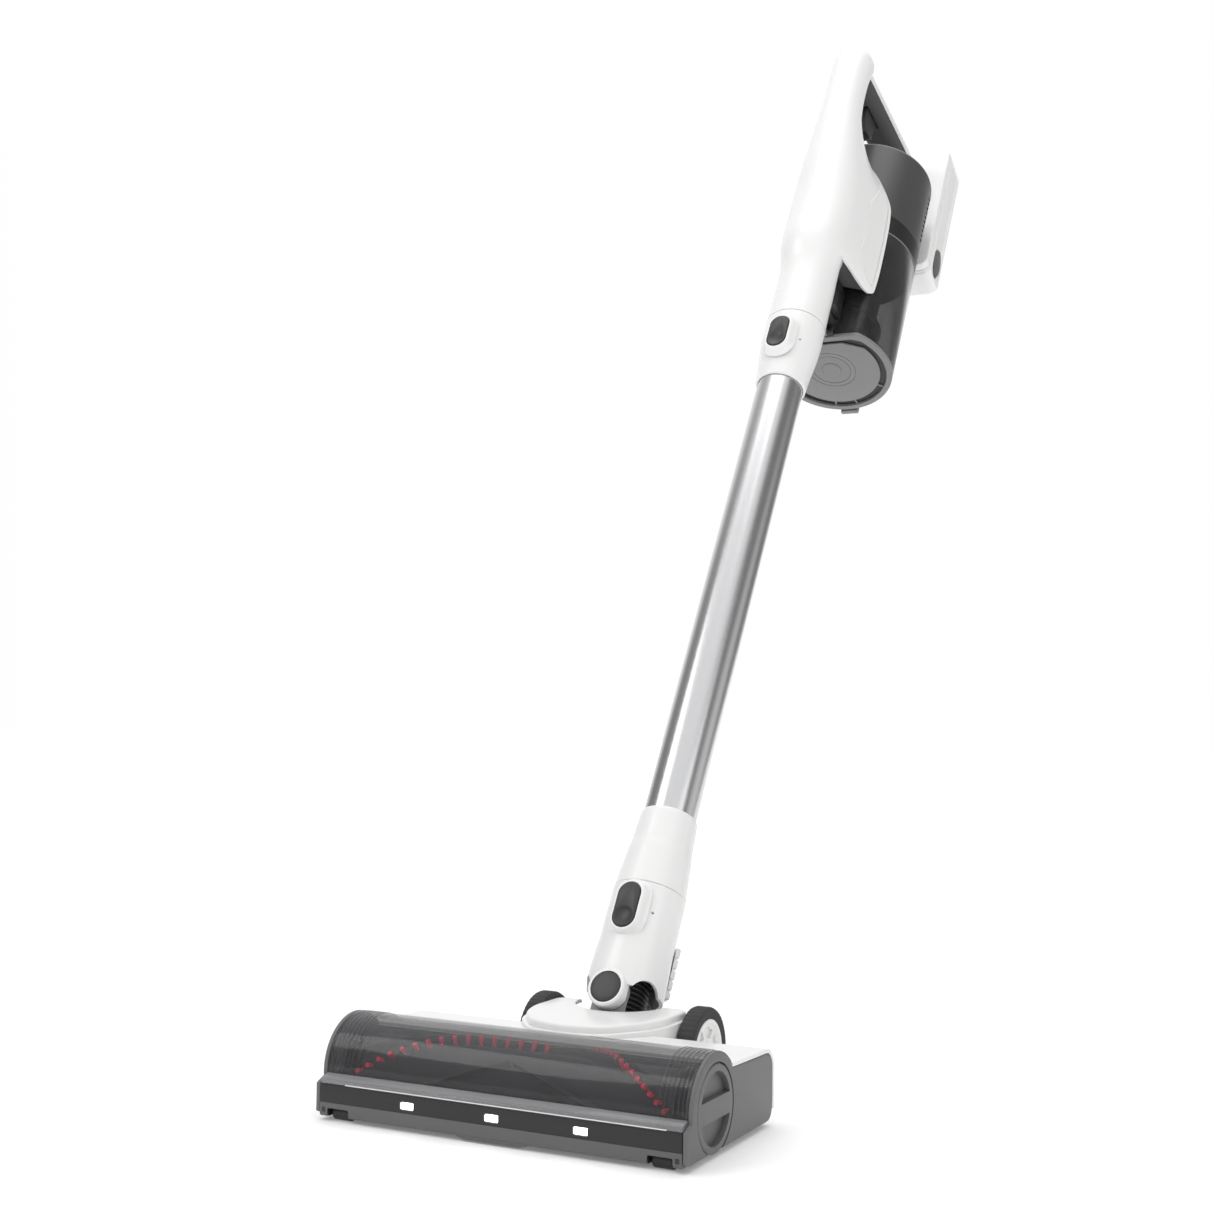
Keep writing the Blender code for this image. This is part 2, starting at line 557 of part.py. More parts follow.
def head_cover(frame, finish):
    """White top cover with the cowl that shields the tilt barrel."""
    junction_y = ROLL_Y + WINDOW_RADIUS * math.cos(WINDOW_REAR_ANGLE) + GAP
    junction_z = ROLL_HEIGHT + WINDOW_RADIUS * math.sin(WINDOW_REAR_ANGLE)
    rear_low = SOLE_CLEARANCE + SOLE_THICKNESS + 4 * MM
    corner = (HEAD_REAR_Y - COVER_CORNER, HEAD_REAR_HEIGHT - COVER_CORNER)
    outer = [(junction_y, junction_z)] + arc(corner, COVER_CORNER, math.pi / 2, 0,
                                             5) + [(HEAD_REAR_Y, rear_low)]
    inner = [(HEAD_REAR_Y - COVER_WALL, rear_low)] + arc(corner, COVER_CORNER - COVER_WALL, 0, math.pi / 2, 5)
    inner += [(junction_y, junction_z - COVER_WALL)]
    cover = prism("head_cover", outer + inner, -HEAD_WIDTH / 2, HEAD_WIDTH / 2, frame, finish)
    front = -COWL_LENGTH
    plan = [(-COWL_HALF_WIDTH, 2 * MM), (-COWL_HALF_WIDTH, -36 * MM), (-44 * MM, -56 * MM),
            (-COWL_FRONT_HALF_WIDTH, front + 5 * MM), (-8 * MM, front), (8 * MM, front),
            (COWL_FRONT_HALF_WIDTH, front + 5 * MM), (44 * MM, -56 * MM), (COWL_HALF_WIDTH, -36 * MM),
            (COWL_HALF_WIDTH, 2 * MM)]
    scale = (COWL_HALF_WIDTH - COWL_WALL) / COWL_HALF_WIDTH
    hollow_plan = [(x * scale, y * scale if y < 0 else 6 * MM) for x, y in plan]
    cowl = prism("cowl", plan, COWL_SKIRT, COWL_TOP, frame, along="Z")
    bottom = HEAD_REAR_HEIGHT - COVER_WALL
    hollow = prism("hollow", hollow_plan, COWL_SKIRT - 5 * MM, COWL_TOP - COWL_WALL, frame, along="Z")
    cut(cowl, hollow)
    cut(cowl, block("cowl_under", (-BODY_HALF, -COWL_LENGTH - 5 * MM, 0),
                    (BODY_HALF, HEAD_REAR_Y - 1 * MM, bottom + 0.5 * MM), frame))
    join(cover, cowl)
    mesh_room = block("cover_room", (-COWL_HALF_WIDTH + 8 * MM, HEAD_REAR_Y - 12 * MM,
                                     WHEEL_RADIUS - 13 * MM),
                      (COWL_HALF_WIDTH - 8 * MM, HEAD_REAR_Y + 5 * MM, COWL_TOP - COWL_WALL), frame)
    cut(cover, mesh_room)
    cut(cover, cylinder("neck_room", NECK_ROOM, 0, 0.1, frame, segments=28))
    cut(cover, block("neck_exit", (-NECK_ROOM, 0, 0), (NECK_ROOM, 20 * MM, 0.1), frame))
    for side in (-1, 1):
        a, b = sorted((side * (ARM_INNER_FACE - 1 * MM), side * (COWL_HALF_WIDTH + 2 * MM)))
        cut(cover, block("arm_room", (a, HEAD_REAR_Y - COVER_WALL - 1 * MM,
                                      WHEEL_RADIUS - ARM_RADIUS * 0.8 - GAP),
                         (b, 20 * MM, WHEEL_RADIUS + ARM_RADIUS * 0.8 + GAP), frame))
        cut(cover, cylinder("arm_end_room", ARM_RADIUS + GAP, a, b, frame, at=HINGE, axis=X))
    return cover


def side_panel(name, side, frame, finish):
    """Grey panel over one end of the head, following its side outline."""
    junction_y = ROLL_Y + (WINDOW_RADIUS) * math.cos(WINDOW_REAR_ANGLE)
    window = arc((ROLL_Y, ROLL_HEIGHT), WINDOW_RADIUS, math.radians(182), WINDOW_REAR_ANGLE, 16)[:-1]
    junction = (junction_y, ROLL_HEIGHT + WINDOW_RADIUS * math.sin(WINDOW_REAR_ANGLE) - COVER_WALL - GAP)
    corner = (HEAD_REAR_Y - COVER_CORNER, HEAD_REAR_HEIGHT - COVER_CORNER)
    rear = arc(corner, COVER_CORNER - COVER_WALL - GAP, math.pi / 2, 0, 4)
    outline = [(HEAD_FRONT_Y, SOLE_CLEARANCE + 2 * MM), (HEAD_FRONT_Y, BAR_HEIGHT)] + window + [junction]
    outline += rear + [(rear[-1][0], SOLE_CLEARANCE + 1 * MM), (HEAD_FRONT_Y + 3 * MM,
                                                                SOLE_CLEARANCE + 1 * MM)]
    a, b = sorted((side * BODY_HALF, side * HEAD_WIDTH / 2))
    panel = prism(name, outline, a, b, frame, finish)
    if side > 0:
        cut(panel, cylinder("cap_opening", END_CAP_RADIUS + RUN_GAP, a - 1 * MM, b + 1 * MM, frame,
                            at=ROLL_AXIS, axis=X, segments=32))
    return panel


def clear_window(frame, finish):
    """Clear arched window over the brush, with a flared foot on the front bar."""
    outer = arc((ROLL_Y, ROLL_HEIGHT), WINDOW_RADIUS, math.pi, WINDOW_REAR_ANGLE, 16)
    inner = arc((ROLL_Y, ROLL_HEIGHT), WINDOW_RADIUS - WINDOW_WALL, WINDOW_REAR_ANGLE, math.pi, 16)
    foot = BAR_HEIGHT + GAP
    front = HEAD_FRONT_Y + 1 * MM
    outline = [(front, foot), (front,
                               foot + 2 * MM)] + outer + inner + [(HEAD_FRONT_Y + BAR_DEPTH - 2.5 * MM, foot)]
    return prism("clear_window", outline, -BODY_HALF + GAP, BODY_HALF - GAP, frame, finish)


def brush_roll(frame, finish):
    """Brush roll whose tuft rows wind towards the middle from both ends."""
    half = BODY_HALF - 2 * CHASSIS_WALL - BELT_WIDTH - 1 * MM
    pattern = (1, 1, 0, 0, 0)
    around = ROLL_TUFT_ROWS * len(pattern)
    stations = 10
    mesh = bmesh.new()
    rings = []
    for i in range(stations + 1):
        x = -half + 2 * half * i / stations
        turn = ROLL_TWIST * abs(x) / half
        ring = []
        for j in range(around):
            angle = math.tau * j / around + turn
            radius = ROLL_RADIUS if pattern[j % len(pattern)] else ROLL_CORE_RADIUS
            ring.append(mesh.verts.new((x, radius * math.cos(angle), radius * math.sin(angle))))
        rings.append(ring)
    loops = [[mesh.edges.new((ring[j], ring[(j + 1) % around])) for j in range(around)] for ring in rings]
    for a, b in zip(loops, loops[1:]):
        bmesh.ops.bridge_loops(mesh, edges=a + b)
    bmesh.ops.holes_fill(mesh, edges=loops[0] + loops[-1], sides=around)
    bmesh.ops.triangulate(mesh, faces=mesh.faces[:])
    bmesh.ops.translate(mesh, vec=ROLL_AXIS, verts=mesh.verts)
    roll = finish_mesh("brush_roll", mesh, frame, finish)
    plane = -BODY_HALF + 0.6 * MM
    join(roll, cylinder("shaft", ROLL_SHAFT_RADIUS, plane + 1 * MM, -half + 1 * MM, frame, at=ROLL_AXIS,
                        axis=X, segments=12))
    join(roll, cylinder("roll_pulley", ROLL_PULLEY_RADIUS, plane, plane + BELT_WIDTH, frame, at=ROLL_AXIS,
                        axis=X, segments=24))
    join(roll, cylinder("stub", ROLL_SHAFT_RADIUS, half - 1 * MM, half + 5 * MM, frame, at=ROLL_AXIS, axis=X,
                        segments=12))
    return set_origin(roll, ROLL_AXIS)


def roll_end_cap(frame, finish, bearing_finish):
    """Quarter-turn cap that holds the roll's right end, and the bearing inside it."""
    outer = HEAD_WIDTH / 2
    inner = outer - END_CAP_DEPTH
    cap = cylinder("roll_end_cap", END_CAP_RADIUS, inner, outer, frame, finish, ROLL_AXIS, X, 32)
    for sign in (-1, 1):
        centre = (ROLL_Y, ROLL_HEIGHT)
        half = [(p[0], p[1]) for p in arc((0, 0), END_CAP_RADIUS - 4.5 * MM, math.radians(18),
                                          math.radians(162), 8)]
        points = []
        for y, z in half:
            angle = 0 if sign > 0 else math.pi
            points.append((centre[0] + y * math.cos(angle) - z * math.sin(angle),
                           centre[1] + y * math.sin(angle) + z * math.cos(angle)))
        cut(cap, prism("finger_recess", points, outer - 4 * MM, outer + 1 * MM, frame))
    cut(cap, cylinder("bearing_seat", 6.6 * MM, inner - 1 * MM, inner + 3.6 * MM, frame, at=ROLL_AXIS,
                      axis=X, segments=16))
    set_origin(cap, ROLL_AXIS)
    bearing = tube("roll_bearing", 6.3 * MM, ROLL_SHAFT_RADIUS + GAP, inner + 0.3 * MM, inner + 3.3 * MM,
                   frame,
                   bearing_finish, ROLL_AXIS, X, 16)
    return cap, bearing


def brush_drive(frame, plastic, rubber, metal):
    """Brush motor, its pulley and the belt at the left end."""
    motor_y = brush_motor_y()
    axis = Vector((0, motor_y, ROLL_HEIGHT))
    inner = BODY_HALF - 2 * CHASSIS_WALL - BELT_WIDTH - 1 * MM
    start = -inner + GAP
    motor = cylinder("brush_motor", BRUSH_MOTOR_RADIUS - 1 * MM, start, start + BRUSH_MOTOR_LENGTH, frame,
                     metal, axis, X, 24)
    plane = -BODY_HALF + 0.6 * MM
    pulley_room = BELT_WIDTH
    motor_pulley = cylinder("motor_pulley", MOTOR_PULLEY_RADIUS, plane, plane + pulley_room, frame, plastic,
                            axis, X, 16)
    join(motor_pulley, cylinder("shaft", 2.4 * MM, plane + 1 * MM, start - GAP, frame, at=axis, axis=X,
                                segments=12))
    set_origin(motor_pulley, axis)
    span = motor_y - ROLL_Y
    wrap = math.acos((ROLL_PULLEY_RADIUS - MOTOR_PULLEY_RADIUS) / span)

    def loop(offset):
        big = arc((ROLL_Y, ROLL_HEIGHT), ROLL_PULLEY_RADIUS + offset, wrap, math.tau - wrap, 18)
        small = arc((motor_y, ROLL_HEIGHT), MOTOR_PULLEY_RADIUS + offset, -wrap, wrap, 10)
        return big + small

    belt = prism("drive_belt", loop(RUN_GAP + BELT_THICKNESS), plane, plane + pulley_room, frame, rubber)
    cut(belt, prism("belt_inside", loop(RUN_GAP), plane - 1 * MM, plane + pulley_room + 1 * MM, frame))
    return motor, motor_pulley, belt


def headlight_bar(frame, finish):
    """Light bar in the front bar's groove, with one lens for each window."""
    back = HEAD_FRONT_Y + 5 * MM
    end = led_places()[-1] + LED_WIDTH
    bar = block("headlight_bar", (-end, HEAD_FRONT_Y + 3 * MM + GAP, LED_CENTRE - LED_HEIGHT / 2),
                (end, back, LED_CENTRE + LED_HEIGHT / 2), frame, finish)
    for x in led_places():
        join(bar, block("lens", (x - LED_WIDTH / 2, HEAD_FRONT_Y + 0.2 * MM,
                                 LED_CENTRE - LED_HEIGHT / 2 + 0.1 * MM),
                        (x + LED_WIDTH / 2, back - 1 * MM, LED_CENTRE + LED_HEIGHT / 2 - 0.1 * MM), frame,
                        None, 0.8 * MM, 1))
    return bar


def wheel(side, frame, tyre_finish, hub_finish):
    """Rear wheel: tyre, and the hub with the stub axle that snaps into the hinge arm."""
    word = "left" if side < 0 else "right"
    near, far = WHEEL_INNER_FACE, WHEEL_INNER_FACE + WHEEL_WIDTH
    lean = Vector((side, 0, 0))
    groove = 1.2 * MM
    tip = ARM_INNER_FACE + 0.5 * MM
    hub_outline = ((0, tip), (WHEEL_AXLE_RADIUS, tip),
                   (WHEEL_AXLE_RADIUS, near - 2 * MM), (6 * MM, near - 2 * MM), (6 * MM, near + 1.5 * MM),
                   (HUB_RADIUS - GAP, near + 1.5 * MM), (HUB_RADIUS - GAP, far - 1.5 * MM),
                   (HUB_RADIUS - 3 * MM, far - 1.2 * MM),
                   (HUB_RADIUS - 5 * MM, far - 3 * MM), (7 * MM, far - 2 * MM), (0, far - 1.5 * MM))
    hub = turned(f"wheel_hub_{word}", hub_outline, frame, hub_finish, HINGE, lean, 24)
    tyre_outline = ((HUB_RADIUS, near + groove), (WHEEL_RADIUS - 2 * MM, near), (WHEEL_RADIUS, near + 2 * MM),
                    (WHEEL_RADIUS, far - 2 * MM), (WHEEL_RADIUS - 2 * MM, far), (HUB_RADIUS, far - groove))
    tyre = turned(f"wheel_tyre_{word}", tyre_outline, frame, tyre_finish, HINGE, lean, 32)
    return set_origin(hub, HINGE), set_origin(tyre, HINGE)


# ---------------------------------------------------------------- tilt barrel and neck, in the wand frame

def hinge_in_wand():
    """The tilt hinge's centre, in the wand frame."""
    return Vector((0, PIVOT_RISE * math.sin(LEAN), -PIVOT_RISE * math.cos(LEAN)))


def tilt_barrel(frame, finish):
    """Barrel between the hinge arms, with two ears for the swivel pins and a seat for the hose."""
    centre = hinge_in_wand()
    half = ARM_INNER_FACE - RUN_GAP
    barrel = cylinder("tilt_barrel", BARREL_RADIUS, -half, half, frame, finish, centre, X, 28)
    ears = cylinder("ears", EAR_RADIUS, -EAR_OUTER, EAR_OUTER, frame, axis=Y, segments=24)
    web = block("web", (-EAR_RADIUS + 0.5 * MM, -EAR_OUTER + 0.4 * MM, centre.z),
                (EAR_RADIUS - 0.5 * MM, EAR_OUTER - 0.4 * MM, 0), frame)
    join(barrel, ears, web)
    boss_room = tube("boss_room", BOSS_RADIUS + 0.6 * MM, 2 * MM, EAR_OUTER, BOSS_FRONT + 2 * MM, frame,
                     axis=Y, segments=24)
    cut(barrel, boss_room)
    cut(barrel, cylinder("hose_seat", HOSE_RADIUS + 3.2 * MM, -EAR_INNER, EAR_INNER, frame, axis=Y,
                         segments=24))
    cut(barrel, block("hose_way", (-HOSE_RADIUS - 3 * MM, -EAR_INNER, 0),
                      (HOSE_RADIUS + 3 * MM, EAR_INNER, 30 * MM), frame))
    cut(barrel, cylinder("pin_hole", SWIVEL_PIN_RADIUS + GAP, -EAR_OUTER - 2 * MM, EAR_OUTER + 2 * MM, frame,
                         axis=Y, segments=16))
    for side in (-1, 1):
        a, b = sorted((side * (half - JOURNAL_LENGTH - 0.3 * MM), side * (half + 1 * MM)))
        cut(barrel, cylinder("journal_bore", JOURNAL_RADIUS + GAP, a, b, frame, at=centre, axis=X,
                             segments=20))
    # airway from the front of the barrel up into the hose seat
    cut(barrel, block("airway", (-9 * MM, centre.y - 22 * MM, centre.z - 6 * MM),
                      (9 * MM, centre.y + 2 * MM, centre.z + 6 * MM), frame))
    cut(barrel, cylinder("airway_up", 8.5 * MM, centre.z - 3 * MM, 0, frame, segments=16))
    return barrel


def air_hose(frame, finish):
    """Short corrugated hose between the barrel and the neck's duct."""
    ribs = 5
    low, high = -11 * MM, 34 * MM
    outline = []
    for i in range(ribs * 2 + 1):
        radius = HOSE_RADIUS if i % 2 else HOSE_RADIUS - 1.2 * MM
        outline.append((radius, low + (high - low) * i / (ribs * 2)))
    inside = HOSE_RADIUS - 1.2 * MM - HOSE_WALL
    outline += [(inside, high), (inside, low)]
    return turned("air_hose", outline, frame, finish, segments=20)


def neck_shell(frame, finish):
    """Lower neck: a tapered tube with a round boss on the swivel axis and side notches for the hose."""
    outer = at_mm(NECK_PROFILE)
    inner = [(radius - NECK_WALL, height) for radius, height in reversed(outer)]
    shell = turned("neck_shell", outer + inner, frame, finish, segments=32)
    low, high = BOSS_FRONT, BOSS_FRONT - 9.5 * MM
    join(shell, cylinder("boss_front", BOSS_RADIUS, -low, -high, frame, axis=Y, segments=24))
    join(shell, cylinder("boss_rear", BOSS_RADIUS, high, low - 2 * MM, frame, axis=Y, segments=24))
    ear_room = EAR_OUTER + GAP
    cut(shell, block("between", (-BOSS_RADIUS - 2 * MM, -ear_room, -BOSS_RADIUS - 2 * MM),
                     (BOSS_RADIUS + 2 * MM, ear_room, EAR_RADIUS + 2 * MM), frame))
    reach = BOSS_FRONT + 2 * MM
    for side in (-1, 1):
        direction = Vector((side * math.sin(math.radians(62)), -math.cos(math.radians(62)), 0))
        notch = cylinder("notch", NOTCH_RADIUS, 10 * MM, reach, frame, at=(0, 0, NOTCH_CENTRE),
                         axis=direction, segments=20)
        cut(shell, notch)
    cut(shell, cylinder("pin_hole", SWIVEL_PIN_RADIUS + GAP, -reach, reach, frame, axis=Y, segments=16))
    cut(shell, cylinder("cap_seat", SWIVEL_CAP_RADIUS + GAP, -reach, -BOSS_FRONT + 2.5 * MM, frame, axis=Y,
                        segments=24))
    return add_bezel(shell, NECK_BUTTON, NECK_BUTTON_FACE, 24.4 * MM, frame)


def neck_collar(frame, finish):
    """Upper neck ring that the wand plugs into."""
    outer = at_mm(COLLAR_PROFILE)
    bore = WAND_RADIUS + GAP
    bottom, top = outer[0][1], outer[-1][1]
    outline = outer + [(bore, top), (bore, WAND_START - 3 * MM), (bore - 2 * MM, WAND_START - 3 * MM),
                       (bore - 2 * MM, bottom)]
    return turned("neck_collar", outline, frame, finish, segments=32)


def swivel_pins(frame, pin_finish, cap_finish):
    """Front pin with its wide dark head, and the rear pin."""
    depth = 2.2 * MM
    front = cylinder("swivel_cap", SWIVEL_CAP_RADIUS, -BOSS_FRONT + GAP, -BOSS_FRONT + depth, frame,
                     cap_finish, axis=Y, segments=24)
    join(front, cylinder("stem", SWIVEL_PIN_RADIUS, -BOSS_FRONT + depth - 1 * MM, -EAR_INNER + 0.2 * MM,
                         frame, axis=Y, segments=12))
    rear = cylinder("swivel_pin_rear", SWIVEL_PIN_RADIUS, EAR_INNER - 0.2 * MM, BOSS_FRONT - 2.4 * MM, frame,
                    pin_finish,
                    axis=Y, segments=12)
    return front, rear


def neck_rear_cover(frame, finish):
    """Slotted cover over the cable on the back of the neck."""
    low, high = NECK_COVER_SPAN
    inner = arc((0, 0), NECK_COVER_INNER, math.pi - NECK_COVER_EDGE, NECK_COVER_EDGE, 12)
    outer = arc((0, 0), NECK_COVER_OUTER, NECK_COVER_EDGE, math.pi - NECK_COVER_EDGE, 12)
    cover = prism("neck_rear_cover", inner + outer, low, high, frame, finish, along="Z")
    for i in range(4):
        z = low + 5 * MM + i * 8 * MM
        for side in (-1, 1):
            a, b = sorted((side * 22 * MM, side * (NECK_COVER_OUTER + 2 * MM)))
            cut(cover, block("slot", (a, 15 * MM, z), (b, NECK_COVER_OUTER, z + 2.2 * MM), frame))
    return cover


def add_bezel(shell, centre, face, root, frame):
    """Raised oval rim around a release button, in one with the shell, and the button's opening."""
    outline = stadium(BUTTON_HALF_LENGTH + BEZEL_RIM, BUTTON_HALF_WIDTH + BEZEL_RIM, 8, (0, centre))
    join(shell, prism("bezel", outline, -face + 1.6 * MM, -root, frame, along="Y"))
    hole = stadium(BUTTON_HALF_LENGTH + GAP, BUTTON_HALF_WIDTH + GAP, 8, (0, centre))
    depth = BUTTON_HEIGHT + BUTTON_TRAVEL + GAP
    return cut(shell, prism("button_opening", hole, -face - 1 * MM, -face + depth, frame, along="Y"))


def release_button(name, centre, face, frame, finish):
    """Stadium button with a round thumb dimple at its lower end."""
    outline = stadium(BUTTON_HALF_LENGTH, BUTTON_HALF_WIDTH, 8, (0, centre))
    button = prism(name, outline, -face, -face + BUTTON_HEIGHT, frame, finish, along="Y")
    dimple = BUTTON_HALF_WIDTH - 1.4 * MM
    low = centre - BUTTON_HALF_LENGTH + BUTTON_HALF_WIDTH
    cut(button, cylinder("dimple", dimple, -face - 1 * MM, -face + 1.2 * MM, frame, at=(0, 0, low), axis=Y,
                         segments=16))
    return set_origin(button, (0, -face + BUTTON_HEIGHT / 2, centre))


def wand(frame, steel, plastic):
    """Steel wand and the plastic liners at its ends."""
    pipe = tube("wand_tube", WAND_RADIUS, WAND_RADIUS - WAND_WALL, WAND_START, WAND_END, frame, steel,
                segments=36)
    outer = WAND_RADIUS - WAND_WALL - GAP
    depth = 30 * MM
    low = turned("wand_plug_lower", ((outer - WAND_LINER, WAND_START - 2 * MM),
                                     (WAND_RADIUS - 0.6 * MM, WAND_START - 2 * MM),
                 (WAND_RADIUS - 0.6 * MM, WAND_START - GAP), (outer, WAND_START - GAP),
                                     (outer, WAND_START + depth),
                 (outer - WAND_LINER, WAND_START + depth)), frame, plastic, segments=24)
    high = turned("wand_plug_upper", ((outer - WAND_LINER, WAND_END - depth), (outer, WAND_END - depth),
                                      (outer, WAND_END + GAP),
                  (WAND_RADIUS - 0.6 * MM, WAND_END + GAP), (WAND_RADIUS - 0.6 * MM, WAND_END + 2 * MM),
                  (outer - WAND_LINER, WAND_END + 2 * MM)), frame, plastic, segments=24)
    return pipe, low, high


# ---------------------------------------------------------------- hand unit, in the wand frame

CYLINDER_AXIS = Vector((0, CYLINDER_OFFSET, 0))


def spine_solid(name, frame, extra=0.0, finish=None, sections=None, segments=24):
    """The spine's form, bridged between its round sections and made larger by extra all round."""
    mesh = bmesh.new()
    loops = []
    for height, radius, offset in sections or SPINE_SECTIONS:
        ring = bmesh.ops.create_circle(mesh, segments=segments, radius=radius * MM + extra)["verts"]
        bmesh.ops.translate(mesh, vec=(0, offset * MM, height * MM), verts=ring)
        loops.append([edge for edge in mesh.edges if edge.verts[0] in ring and edge.verts[1] in ring])
    for low, high in zip(loops, loops[1:]):
        bmesh.ops.bridge_loops(mesh, edges=low + high)
    bmesh.ops.holes_fill(mesh, edges=loops[0] + loops[-1], sides=segments)
    return finish_mesh(name, mesh, frame, finish)


def cheek_solid(frame):
    """Flanks behind the spine that wrap the cylinder's front, trimmed to their curved front outline."""
    outer = CYLINDER_RADIUS + CHEEK_WALL
    inner = CYLINDER_RADIUS + 0.5 * MM
    spread = math.asin(CHEEK_OUTLINE[9][0] * MM / outer) + math.radians(0.5)
    side_x = max(section[1] for section in SPINE_SECTIONS) * MM - 0.3 * MM
    edge = (outer * math.sin(spread), CYLINDER_OFFSET - outer * math.cos(spread))
    flank = [(side_x - 7 * MM, -18 * MM), (side_x, 0), (side_x + 0.4 * MM, 16 * MM),
             (side_x + 2.6 * MM, edge[1] - 16 * MM),
             (edge[0] - 4.2 * MM, edge[1] - 6 * MM), edge]
    steps = 14
    back = [(inner * math.sin(spread * (1 - 2 * i / steps)),
             CYLINDER_OFFSET - inner * math.cos(spread * (1 - 2 * i / steps)))
            for i in range(steps + 1)]
    section = flank + back + [(-x, y) for x, y in reversed(flank)]
    body = prism("cheek", section, 702 * MM, 896 * MM, frame, along="Z")
    right = [(x * MM, height * MM) for x, height in CHEEK_OUTLINE]
    front_outline = right + [(-x, height) for x, height in reversed(right[1:-1])]
    return combine(body, prism("cheek_outline", front_outline, -20 * MM, 70 * MM, frame, along="Y"),
                   "INTERSECT")


def grip_section(low, high, steps=6):
    """Half-round-ended section of the grip between two depths measured along the wand."""
    half, corner = GRIP_WIDTH / 2, GRIP_CORNER
    outline = []
    if high >= GRIP_DEPTH / 2 - 1e-6:
        outline += arc((half - corner, high - corner), corner, 0, math.pi / 2, steps)
        outline += arc((corner - half, high - corner), corner, math.pi / 2, math.pi, steps)
    else:
        outline += [(half, high), (-half, high)]
    if low <= -GRIP_DEPTH / 2 + 1e-6:
        outline += arc((corner - half, low + corner), corner, math.pi, math.pi * 1.5, steps)
        outline += arc((half - corner, low + corner), corner, math.pi * 1.5, math.tau, steps)
    else:
        outline += [(-half, low), (half, low)]
    return outline


def grip_part(name, low, high, start, end, frame, finish=None):
    """Length of the grip, sheared so that it climbs from the spine to the battery."""
    part = prism(name, grip_section(low, high), start, end, frame, finish, along="Y")
    slope = (GRIP_REAR_HEIGHT - GRIP_FRONT_HEIGHT) / (DOCK_FACE - GRIP_FRONT)
    shear = Matrix.Identity(4)
    shear[2][1] = slope
    shear[2][3] = GRIP_FRONT_HEIGHT - slope * GRIP_FRONT
    part.data.transform(shear)
    return part


def main_shell(frame, finish):
    """White spine, cheeks and the hard back of the grip in one moulding, hollow inside."""
    shell = spine_solid("main_shell", frame, finish=finish)
    join(shell, cheek_solid(frame))
    split = GRIP_DEPTH / 2 - GRIP_BACK_SHARE
    back = grip_part("grip_back", split, GRIP_DEPTH / 2, GRIP_FRONT, DOCK_FACE - GAP, frame)
    join(shell, back)
    bottom = SOCKET_SEAM - 1 * MM
    duct_top = INLET_HEIGHT + INLET_RADIUS + 10 * MM
    cut(shell, cylinder("duct", DUCT_RADIUS, bottom, duct_top, frame, segments=24))
    cut(shell, cylinder("inlet_port", INLET_RADIUS + 1.4 * MM, 0, 40 * MM, frame, at=(0, 0, INLET_HEIGHT),
                        axis=Y, segments=20))
    hollow = [section for section in SPINE_SECTIONS if 718 <= section[0] <= 945]
    hollow[0] = (hollow[0][0] + 6,) + hollow[0][1:]
    cut(shell, spine_solid("hollow", frame, -SPINE_WALL, sections=hollow, segments=20))
    wire_height = GRIP_FRONT_HEIGHT - GRIP_DEPTH / 4
    cut(shell, block("wire_way", (-4 * MM, -15 * MM, wire_height - 3 * MM),
                     (4 * MM, 5 * MM, wire_height + 3 * MM), frame))
    return shell


def socket_collar(frame, finish):
    """Socket at the bottom of the spine that takes the wand."""
    outer = at_mm(SOCKET_PROFILE)
    bore = WAND_RADIUS + GAP
    stop = WAND_END + 2 * MM + GAP
    outline = outer + [(DUCT_RADIUS, outer[-1][1]), (DUCT_RADIUS, stop), (bore, stop), (bore, outer[0][1])]
    collar = turned("socket_collar", outline, frame, finish, segments=32)
    return add_bezel(collar, SOCKET_BUTTON, SOCKET_BUTTON_FACE, WAND_RADIUS + 2.2 * MM, frame)


def grip_front(frame, finish):
    """Dark soft inner side of the grip, with the trigger's pocket."""
    split = GRIP_DEPTH / 2 - GRIP_BACK_SHARE - GAP
    grip = grip_part("grip_front", -GRIP_DEPTH / 2, split, -12 * MM, DOCK_FACE - GAP, frame, finish)
    cut(grip, spine_solid("spine_room", frame, GAP + 0.1 * MM))
    pocket_half = TRIGGER_WIDTH / 2 + RUN_GAP
    cut(grip, block("trigger_pocket", (-pocket_half, TRIGGER_FRONT - 2 * MM, TRIGGER_LOW),
                    (pocket_half, TRIGGER_FRONT + TRIGGER_LENGTH + RUN_GAP, TRIGGER_TOP + 1.2 * MM), frame))
    for side in (-1, 1):
        a, b = sorted((side * (TRIGGER_WIDTH / 2 - 1 * MM), side * (TRIGGER_WIDTH / 2 + 3 * MM)))
        cut(grip, cylinder("pivot_seat", 2 * MM + GAP, a, b, frame, at=(0, *TRIGGER_PIVOT), axis=X,
                           segments=12))
    return grip


def trigger(frame, finish):
    """Power trigger under the grip, which a finger swings towards the spine about its pivot."""
    front, back = TRIGGER_FRONT, TRIGGER_FRONT + TRIGGER_LENGTH
    low, top = TRIGGER_LOW, TRIGGER_TOP
    outline = [(front + 2 * MM, top), (front, top - 8 * MM), (front + 1 * MM, low + 14 * MM),
               (front + 4 * MM, low + 6 * MM),
               (front + 9 * MM, low + 1 * MM), (front + 14 * MM, low), (back - 8 * MM, low + 3 * MM),
               (back - 6 * MM, low + 10 * MM),
               (back - 4 * MM, low + 18 * MM), (back, low + 25 * MM), (back, top - 3 * MM)]
    body = prism("trigger", outline, -TRIGGER_WIDTH / 2, TRIGGER_WIDTH / 2, frame, finish)
    reach = TRIGGER_WIDTH / 2 + 2.6 * MM
    join(body, cylinder("pivot", 2 * MM, -reach, reach, frame, at=(0, *TRIGGER_PIVOT), axis=X, segments=12))
    return set_origin(body, (0, *TRIGGER_PIVOT))


